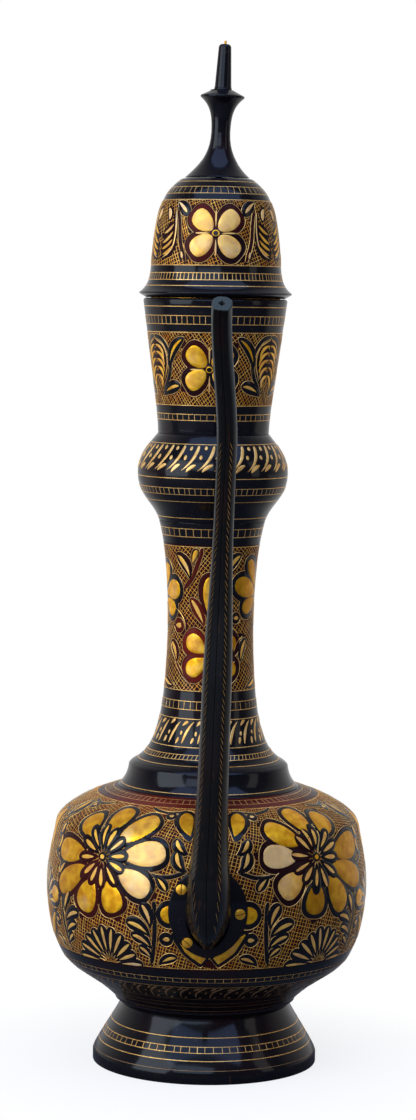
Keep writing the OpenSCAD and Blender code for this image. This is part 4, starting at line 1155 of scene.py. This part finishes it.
t = (swan[:, 1] - Z_PIVOT) / (TIP[1] - Z_PIVOT)
swan_w = MID_W + (SLIM_W - MID_W) * ease((t - DRAW_AT) / (SLIM_AT - DRAW_AT))
swan_w += (BEND_HALF[0] - MID_W) * np.exp(-t / FLARE)
swan_w += (TIP_W - SLIM_W) * ease((t - SLIM_AT) / (1 - SLIM_AT))
deep = BEND_HALF[1] / BEND_HALF[0]
swan_d = swan_w * (deep + (1 - deep) * np.clip(2 * t, 0, 1))
swan_stations = np.column_stack([swan, headed(swan, np.pi / 2 - TIP_LEAN), swan_w, swan_d])
sway = SWAY * t - SWAY_BACK * ease((t - BACK_AT) / (1 - BACK_AT))
bend_share = ROOT_SHARE + (FRONT_SHARE - ROOT_SHARE) * ease(BEND_T)
spout_stations = np.concatenate([
    dressed(lower_bend(), bend_share, 0.0, TWIST * ease(BEND_T)),
    dressed(swan_stations, FRONT_SHARE, sway, TWIST)[1:],
])
print("spout stations:", len(spout_stations))

# %% Sections
ARRIS_DROP = 0.10
SQUARENESS = 2.4


def half_section(stations):
    """Half a section per station, as across and towards the front.

    A flat front that drops with the square of f, a cubic cheek, and a quarter of a superellipse behind.
    """
    w, d, share = stations[:, None, 3], stations[:, None, 4], stations[:, None, 5]
    f = np.linspace(0, 1, 7)[:-1]
    cheek = cubic([0, 1 - ARRIS_DROP], [1, 0], [0.55, 0.3], [0, 0.35], 9)[:-1].T
    a = np.radians(np.linspace(0, 90, 13))
    back = np.cos(a) ** (2 / SQUARENESS), -np.sin(a) ** (2 / SQUARENESS)
    across = np.hstack([share * f, share + (1 - share) * cheek[0], np.tile(back[0], (len(w), 1))])
    towards = np.concatenate([1 - ARRIS_DROP * f**2, cheek[1], back[1]])
    return across * w, towards * d


def carried(stations, across, towards):
    """Section points at stations: twisted, swayed, and moved along the front normal (sin a, -cos a)."""
    out, up, a, _, _, _, sway, twist = np.moveaxis(stations, -1, 0)
    x = across * np.cos(twist) - towards * np.sin(twist)
    y = across * np.sin(twist) + towards * np.cos(twist)
    return np.stack([sway + x, -(out + y * np.sin(a)), up - y * np.cos(a)], -1)


# %% The two halves of the spout
SEAM_GROOVE = 0.5
BORE_TIP, BORE_SHOWN = 1.9, 14.0
LIP = [(0.10, 0.45), (0.30, 0.50), (0.65, 0.50), (0.97, 0.45), (1.0, 0.20), (1.0, -BORE_SHOWN)]
# The cheeks towards the mouth and the lip are greyed: a painted sheen, standing in for a highlight.
SHEEN_FROM, SHEEN_TO = 240, 380
SHEEN_CHEEK, SHEEN_LIP = 0.75, 0.9


def spout_half(side):
    """One half: up the outside, over a rounded lip, across the end face and down the bore.

    A grey sheen is painted on the cheeks towards the mouth, and on the lip.
    """
    across, towards = half_section(spout_stations)
    d = spout_stations[:, 4:5]
    groove = [0 * d, 0 * d + 0.3 * SEAM_GROOVE]
    depth = [d - SEAM_GROOVE, d - 0.25 * SEAM_GROOVE]
    across = side * np.hstack([*groove, across[:, 1:-1], *groove[::-1]])
    towards = np.hstack([*depth, towards[:, 1:-1], *[-g for g in depth[::-1]]])
    ring = np.linspace(0, 1, across.shape[1])
    bore = side * BORE_TIP * (1 - np.abs(2 * ring - 1)), BORE_TIP * (1 - 2 * ring)
    share, rise = np.array(LIP).T[..., None]
    end = np.tile(spout_stations[-1], (len(LIP), 1))
    end[:, :2] += rise * [np.cos(end[0, 2]), np.sin(end[0, 2])]
    stations = np.concatenate([spout_stations, end])
    across = np.concatenate([across, (1 - share) * across[-1] + share * bore[0]])
    towards = np.concatenate([towards, (1 - share) * towards[-1] + share * bore[1]])
    grid = carried(stations[:, None], across, towards)
    faces = grid_faces(*grid.shape[:2])
    cheek = hump(ring, 0.38, 0.09)
    worn_and_sheen = SHEEN_CHEEK * ease((stations[:, 1:2] - SHEEN_FROM) / (SHEEN_TO - SHEEN_FROM)) * cheek
    worn_and_sheen[len(spout_stations):] = SHEEN_LIP * (np.array(LIP)[:, 1:] > 0)
    return grid.reshape(-1, 3), faces if side < 0 else faces[..., ::-1], -worn_and_sheen.ravel()


CAST_CREASE = 30

for side, node in ((-1, "spout_left"), (1, "spout_right")):
    half = spout_half(side)
    piece(node + "_half", *half, "vessel", CAST_LACQUER, "black_lacquer", [node], CAST_CREASE)

# %% [markdown]
# Both arrises of the spout carry a row of slanting ticks, and its cheeks have a few faint lines near
# the root. The spout can't be unrolled as a wall can, so a tick is a short stroke that is worked out in
# the section itself, beside the arris on the flat front.

# %% Ticks on the spout
LIFT = np.array([-0.03, 0.14, -0.03])
TICKS_FROM, TICKS_TO = 84.0, 316.0


def stations_at(height, steps):
    """Stations read off at heights of the run, with steps along it."""
    run = np.concatenate([[0], np.cumsum(np.hypot(*np.diff(spout_stations[:, :2], axis=0).T))])
    at = np.interp(height, spout_stations[:, 1], run)[..., None] + steps
    return np.stack([np.interp(at, run, column) for column in spout_stations.T], -1)


def tick_row(side, pale, every=3.1, long=3.7, inward=1.4, half=0.17):
    """Ticks along one arris, from the edge of the flat front in and up: long mm along, inward mm in."""
    height = np.arange(TICKS_FROM, TICKS_TO, every)
    height = height + rng.normal(0, 0.25, len(height))
    s = np.linspace(0, 1, 6)
    at = stations_at(height, long * s)
    edge = at[..., 3] * at[..., 5]
    f = 1 - (0.15 + inward * s) / edge
    swollen = half * (0.1 + 0.9 * np.sqrt(4 * s * (1 - s)))
    across = side * (edge * f)[..., None] + swollen[:, None] * THIN
    towards = (at[..., 4] * (1 - ARRIS_DROP * f**2))[..., None] + LIFT
    points = carried(at[:, :, None], across, towards)
    return whole(points, grid_faces(len(s), len(LIFT), len(height)), pale)


def cheek_line(side, column, low, high, half=0.22):
    """A line along the run on one point of the section, lifted off the skin."""
    at = stations_at(np.linspace(low, high, 40), 0.0)[:, 0]
    across, towards = half_section(at)
    step = np.stack([part[:, column + 1] - part[:, column - 1] for part in (across, towards)])
    step = step / np.linalg.norm(step, axis=0)
    x = across[:, column, None] + step[0][:, None] * half * THIN - step[1][:, None] * LIFT
    y = towards[:, column, None] + step[1][:, None] * half * THIN + step[0][:, None] * LIFT
    points = carried(at[:, None], side * x, y)
    faces = grid_faces(len(at), len(LIFT))
    return whole(points, faces if side > 0 else faces[..., ::-1], -0.6)


flush("spout_ticks", [tick_row(-1, -1.0), tick_row(1, -0.75)], "vessel", LINE_BRASS)
cheek_places = [(side, column) for side in (-1, 1) for column in (9, 11, 13)]
cheek_lines = [cheek_line(side, column, 82, 168 - 8 * column) for side, column in cheek_places]
flush("spout_faint_lines", cheek_lines, "vessel", DIM_BRASS)

# %% [markdown]
# ## The handle
# The handle is on the far side, so the photograph hides it. Such ewers have a plain bar there of the
# same family: a bend like the spout's, a long rise and a turn into the cup. It is made by the same
# carried section, whole instead of halved.

# %% Handle
TO_BACK = np.array([1, -1, 1])
Z_TOP = 350.5
TOP_OUT, TOP_BEND = 78.0, 20.0
SLIM_HALF = (6.0, 5.2)
RISE_STEPS = 50
CUP_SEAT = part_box("handle_bar")[0].y / MM
top_pivot = np.array([TOP_OUT - TOP_BEND, Z_TOP - TOP_BEND])
rise = cubic(BEND_END, [TOP_OUT, top_pivot[1]], [-0.25, 0.34], [0, 0.34], RISE_STEPS)
drawn = ease(1.3 * np.linspace(0, 1, RISE_STEPS))[:, None]
rise_half = np.array(BEND_HALF) + (np.array(SLIM_HALF) - BEND_HALF) * drawn
rise_stations = np.column_stack([rise, headed(rise, np.pi / 2), rise_half])
a = np.radians(np.linspace(0, 90, BEND_STEPS))
over = top_pivot + TOP_BEND * np.column_stack([np.cos(a), np.sin(a)])
turn_over = np.column_stack([over, np.pi / 2 + a, np.tile(SLIM_HALF, (len(a), 1))])
end = [[CUP_SEAT, Z_TOP, np.pi, SLIM_HALF[0], SLIM_HALF[1] + 1]]
handle_run = np.concatenate([lower_bend(), rise_stations[1:], turn_over[1:], end])
handle_stations = dressed(handle_run, FRONT_SHARE, 0.0, 0.0)
across, towards = half_section(handle_stations)
across = np.hstack([across, -across[:, -2:0:-1]])
towards = np.hstack([towards, towards[:, -2:0:-1]])
points = carried(handle_stations[:, None], across, towards) * TO_BACK
cast = whole(points, grid_faces(*points.shape[:2], close_cols=True))
piece("handle_bar_cast", *cast, "vessel", CAST_LACQUER, "black_lacquer", ["handle_bar"], CAST_CREASE)

# %% [markdown]
# ## Plates and screws
# Leaf-shaped plates hold the spout and the handle, bent to the wall behind them and held by slotted
# brass screws. A flat plate could be bent with a modifier, but the wall is already unrolled here. So a
# plate is a leaf outline drawn in to its middle on a polar grid, and laid on the wall like a stroke.

# %% Plates
PLATE_T, SEAT_STEPS = 2.6, 64


def leaf_plate(on, half_w, half_h, z_middle):
    """A leaf of two arcs on a wall: rings shrink from its rounded rim to its middle."""
    arc_r = (half_w**2 + half_h**2) / (2 * half_w)
    reach = np.arcsin(half_h / arc_r)
    t = np.linspace(-reach, reach, 40)
    right = np.column_stack([arc_r * np.cos(t) + half_w - arc_r, arc_r * np.sin(t)])
    edge = np.concatenate([right[:-1], -right[:-1]])
    share = np.array([1.0, 1.0, 0.985, 0.955, 0.6, 0.25, 0.02])
    height = PLATE_T - np.array([PLATE_T + 0.3, 0.5, 0.12, 0, 0, 0, 0])
    flat = edge[None] * share[:, None, None]
    y = height_on(on, z_middle + flat[..., 1])
    x = on["scale"] * np.arcsin(flat[..., 0] / np.interp(y, on["arc"], on["r"]))
    points = lay(on, x, y, height[:, None] + 0 * x)
    return points, grid_faces(*points.shape[:2], close_cols=True)[..., ::-1]


def seat(half_w, half_h, out, back, z_middle):
    """A short oval collar between a plate and the bar that stands on it."""
    a = np.linspace(0, 2 * np.pi, SEAT_STEPS, endpoint=False)
    y = -np.array([[back], [out]])
    rows = np.broadcast_arrays(half_w * np.cos(a), y, z_middle + half_h * np.sin(a))
    return np.stack(rows, -1), grid_faces(2, SEAT_STEPS, close_cols=True)[..., ::-1]


def fitting(name, grids, behind, node, finish, slot):
    """Grids as one piece, turned to the far side of the vessel if it belongs there."""
    if behind:
        grids = [(points * TO_BACK, faces[..., ::-1]) for points, faces in grids]
    return piece(name, *gather([whole(*grid) for grid in grids]), "vessel", finish, slot, [node], 40)


BELLY_SEAT = wall("belly_upper", 62.0, 120.0)
CUP_BACK = wall("neck_cup", 328.0, 372.0)
belly_collar = seat(*ROOT_HALF, SEAT_OUT + 0.1, SEAT_OUT - 4, Z_PLATE)
belly_plate = [leaf_plate(BELLY_SEAT, 18.7, 22.5, Z_PLATE), belly_collar]
cup_collar = seat(SLIM_HALF[0], SLIM_HALF[1] + 1, CUP_SEAT + 0.1, CUP_SEAT - 4, Z_TOP)
cup_plate = [leaf_plate(CUP_BACK, 9.5, 17.0, Z_TOP), cup_collar]
PLATES = {"spout": belly_plate, "handle_lower": belly_plate, "handle_upper": cup_plate}
for place, grids in PLATES.items():
    node = place + "_plate"
    fitting(node + "_leaf", grids, place != "spout", node, LACQUER, "black_lacquer")

# %% Screws
BELLY_SCREWS = [[-12.5, 10.5, 90], [15.0, -0.8, 15], [-9.4, -14.6, -40]]
CUP_SCREWS = [[0.0, 12.6, 20], [0.0, -12.6, 75]]
SLOT_HALF = 0.085


def screw_head(on, across, z, turn, radius):
    """A domed slotted head: u runs across the slot and v along it.

    The slot's walls are columns that nearly meet, and the dome falls with the square of the radius.
    """
    right = np.array([SLOT_HALF - 1e-3, SLOT_HALF, 0.3, 0.55, 0.8, 0.93, 0.985, 1])
    u = np.concatenate([-right[::-1], right])
    v = np.sin(np.linspace(-np.pi / 2, np.pi / 2, 17))
    x, y = np.meshgrid(u, v, indexing="ij")
    y = y * np.sqrt(1 - np.clip(x, -0.9999, 0.9999) ** 2)
    off = np.hypot(x, y)
    rim = off > 0.999
    height = np.where(rim, -0.6, 0.25 + 0.42 * (1 - off**2))
    height = np.where((np.abs(x) < SLOT_HALF) & ~rim, -0.35, height)
    c, s = np.cos(np.radians(turn)), np.sin(np.radians(turn))
    flat_x, flat_z = radius * (x * s + y * c), radius * (y * s - x * c)
    middle_y = height_on(on, z)
    middle_r = np.interp(middle_y, on["arc"], on["r"])
    middle_x = on["scale"] * np.arcsin(across / middle_r)
    points = lay(on, middle_x + flat_x * on["scale"] / middle_r, middle_y + flat_z, PLATE_T + height)
    return points, grid_faces(*points.shape[:2])


def heads(on, places, z_middle, radius):
    """The heads of all the screws of one plate."""
    return [screw_head(on, across, z_middle + up, turn, radius) for across, up, turn in places]


belly_heads = heads(BELLY_SEAT, BELLY_SCREWS, Z_PLATE, 2.5)
cup_heads = heads(CUP_BACK, CUP_SCREWS, Z_TOP, 2.0)
HEADS = {"spout": belly_heads, "handle_lower": belly_heads, "handle_upper": cup_heads}
for place, grids in HEADS.items():
    node = place + "_screws"
    fitting(place + "_screw_heads", grids, place != "spout", node, BARE_BRASS, "bare_brass")

# %% [markdown]
# ## What is left of the frame
# The sleeve inside the lid, the finial's rod, its washer and its nut are right as they are, and hidden
# for the most part. They only get their metal.

# %% Bare metal inside
AS_THEY_ARE = ("lid_sleeve", "finial_rod", "finial_washer", "finial_nut")
for node in AS_THEY_ARE:
    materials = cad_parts[node].data.materials
    materials.clear()
    materials.append(BARE_BRASS)
print("bare brass:", ", ".join(AS_THEY_ARE))

# %% [markdown]
# ## Floor, light and camera
# The vessel stands on a pale floor before a white ground. Its lacquer mirrors what is round it, so the
# room matters: a window to the left, a softer one behind the camera, a narrow one to the right and a
# patch of blue sky above. The sky in the windows gives the lacquer its blue sheen. The ground is white
# to the camera. Reflections show it too, but only behind the vessel, so that the lacquer stays black. A
# few large lamps are chosen over a picture of a room, because each can be moved on its own.

# %% Mixed surfaces
def show(tree, share, first, second, output):
    """Sends two shaders to an output, mixed by a share of the second."""
    made = tree.nodes.new("ShaderNodeMixShader")
    for value, socket in zip((share, first, second), made.inputs):
        tree.links.new(value, socket)
    tree.links.new(made.outputs["Shader"], tree.nodes[output].inputs["Surface"])


# %% Floor
NEAR, FAR_OFF, NEAR_WHITE = 0.06, 0.15, 0.82
floor_mesh = bpy.data.meshes.new("floor")
floor_mesh.from_pydata([(-9, -9, 0), (9, -9, 0), (9, 9, 0), (-9, 9, 0)], [], [(0, 1, 2, 3)])
floor = bpy.data.objects.new("floor", floor_mesh)
bpy.context.scene.collection.objects.link(floor)
paper, tree, shader = new_finish("paper")
kind = tree.nodes.new("ShaderNodeLightPath").outputs
seen = blend(tree, kind["Is Camera Ray"], (0.22, 0.22, 0.24), (0.86, 0.86, 0.86))
tree.links.new(seen, shader.inputs["Base Color"])
shader.inputs["Roughness"].default_value = 0.9
shader.inputs["Specular IOR Level"].default_value = 0.1
white = tree.nodes.new("ShaderNodeEmission")
away = tree.nodes.new("ShaderNodeVectorMath")
away.operation = "LENGTH"
tree.links.new(tree.nodes.new("ShaderNodeTexCoord").outputs["Object"], away.inputs[0])
lit = between(tree, away.outputs["Value"], NEAR, FAR_OFF, NEAR_WHITE, 1.0)
behind = between(tree, coordinate(tree, "Y"), 0.0, 0.5)
looked_at = sum_of(tree, kind["Is Camera Ray"], product_of(tree, kind["Is Glossy Ray"], behind))
share = product_of(tree, looked_at, lit)
show(tree, share, shader.outputs["BSDF"], white.outputs["Emission"], "Material Output")
floor_mesh.materials.append(paper)
print(f"floor: white from {FAR_OFF} m on, {NEAR_WHITE:.0%} white under the foot")

# %% World
ROOM_FRONT, ROOM_BACK = (0.11, 0.12, 0.15), (0.40, 0.40, 0.41)
scene = bpy.context.scene
scene.view_settings.view_transform = "Standard"
scene.world = bpy.data.worlds.new("studio")
scene.world.use_nodes = True
tree = scene.world.node_tree
ground = tree.nodes["Background"]
ground.inputs["Color"].default_value = (1, 1, 1, 1)
ground.inputs["Strength"].default_value = 1.0
room = tree.nodes.new("ShaderNodeBackground")
behind = between(tree, coordinate(tree, "Y", "Generated"), 0.0, 0.8)
tree.links.new(blend(tree, behind, ROOM_FRONT, ROOM_BACK), room.inputs["Color"])
kind = tree.nodes.new("ShaderNodeLightPath").outputs
mirrored_rays = sum_of(tree, kind["Is Glossy Ray"], kind["Is Transmission Ray"])
share = sum_of(tree, kind["Is Camera Ray"], product_of(tree, mirrored_rays, behind))
show(tree, share, room.outputs["Background"], ground.outputs["Background"], "World Output")
print("world nodes:", len(tree.nodes))

# %% Lamps
AIM = Vector((0, 0, 0.26))


def window(name, around, up, far, size, glow, colour):
    """A soft rectangular lamp that looks at the vessel, with a glow per unit of its face.

    around is in degrees from the viewer to the right, up and far are in m.
    """
    data = bpy.data.lights.new(name, "AREA")
    data.shape = "RECTANGLE"
    data.size, data.size_y = size
    data.energy = glow * np.pi * size[0] * size[1]
    data.color = colour
    lamp = bpy.data.objects.new(name, data)
    turn = np.radians(around)
    lamp.location = (far * np.sin(turn), -far * np.cos(turn), up)
    lamp.rotation_euler = (AIM - lamp.location).to_track_quat("-Z", "Y").to_euler()
    scene.collection.objects.link(lamp)


window("left_window", -58, 0.85, 2.0, (1.5, 1.6), 4.6, (0.76, 0.87, 1.0))
window("front_window", -12, 1.35, 2.3, (1.8, 1.1), 3.7, (0.58, 0.74, 1.0))
window("right_window", 68, 0.8, 2.0, (0.5, 1.4), 1.2, (1.0, 0.96, 0.90))
window("sky_light", 0, 2.1, 0.9, (3.0, 1.6), 3.2, (0.34, 0.52, 1.0))
print("lamps:", len(bpy.data.lights))

# %% Camera
FAR, EYE_Z = 1.55, 0.3837
AROUND, PITCH, ROLL = np.radians(-0.6), np.radians(4.79), np.radians(0.87)
FOCAL_PX, IMAGE = 3100.0, (416, 1120)
AXIS_PX = 211.5
lens = bpy.data.cameras.new("camera")
lens.sensor_width = 36.0
lens.lens = FOCAL_PX / max(IMAGE) * lens.sensor_width
camera = bpy.data.objects.new("camera", lens)
yaw = AROUND + np.arctan((AXIS_PX - IMAGE[0] / 2) / FOCAL_PX)
camera.matrix_world = (
    Matrix.Translation((FAR * np.sin(AROUND), -FAR * np.cos(AROUND), EYE_Z))
    @ Matrix.Rotation(yaw, 4, "Z")
    @ Matrix.Rotation(np.pi / 2 - PITCH, 4, "X")
    @ Matrix.Rotation(ROLL, 4, "Z")
)
scene.collection.objects.link(camera)
scene.camera = camera
print(f"camera: {FAR} m off, {np.degrees(PITCH):.1f} degrees down, {lens.lens:.0f} mm")
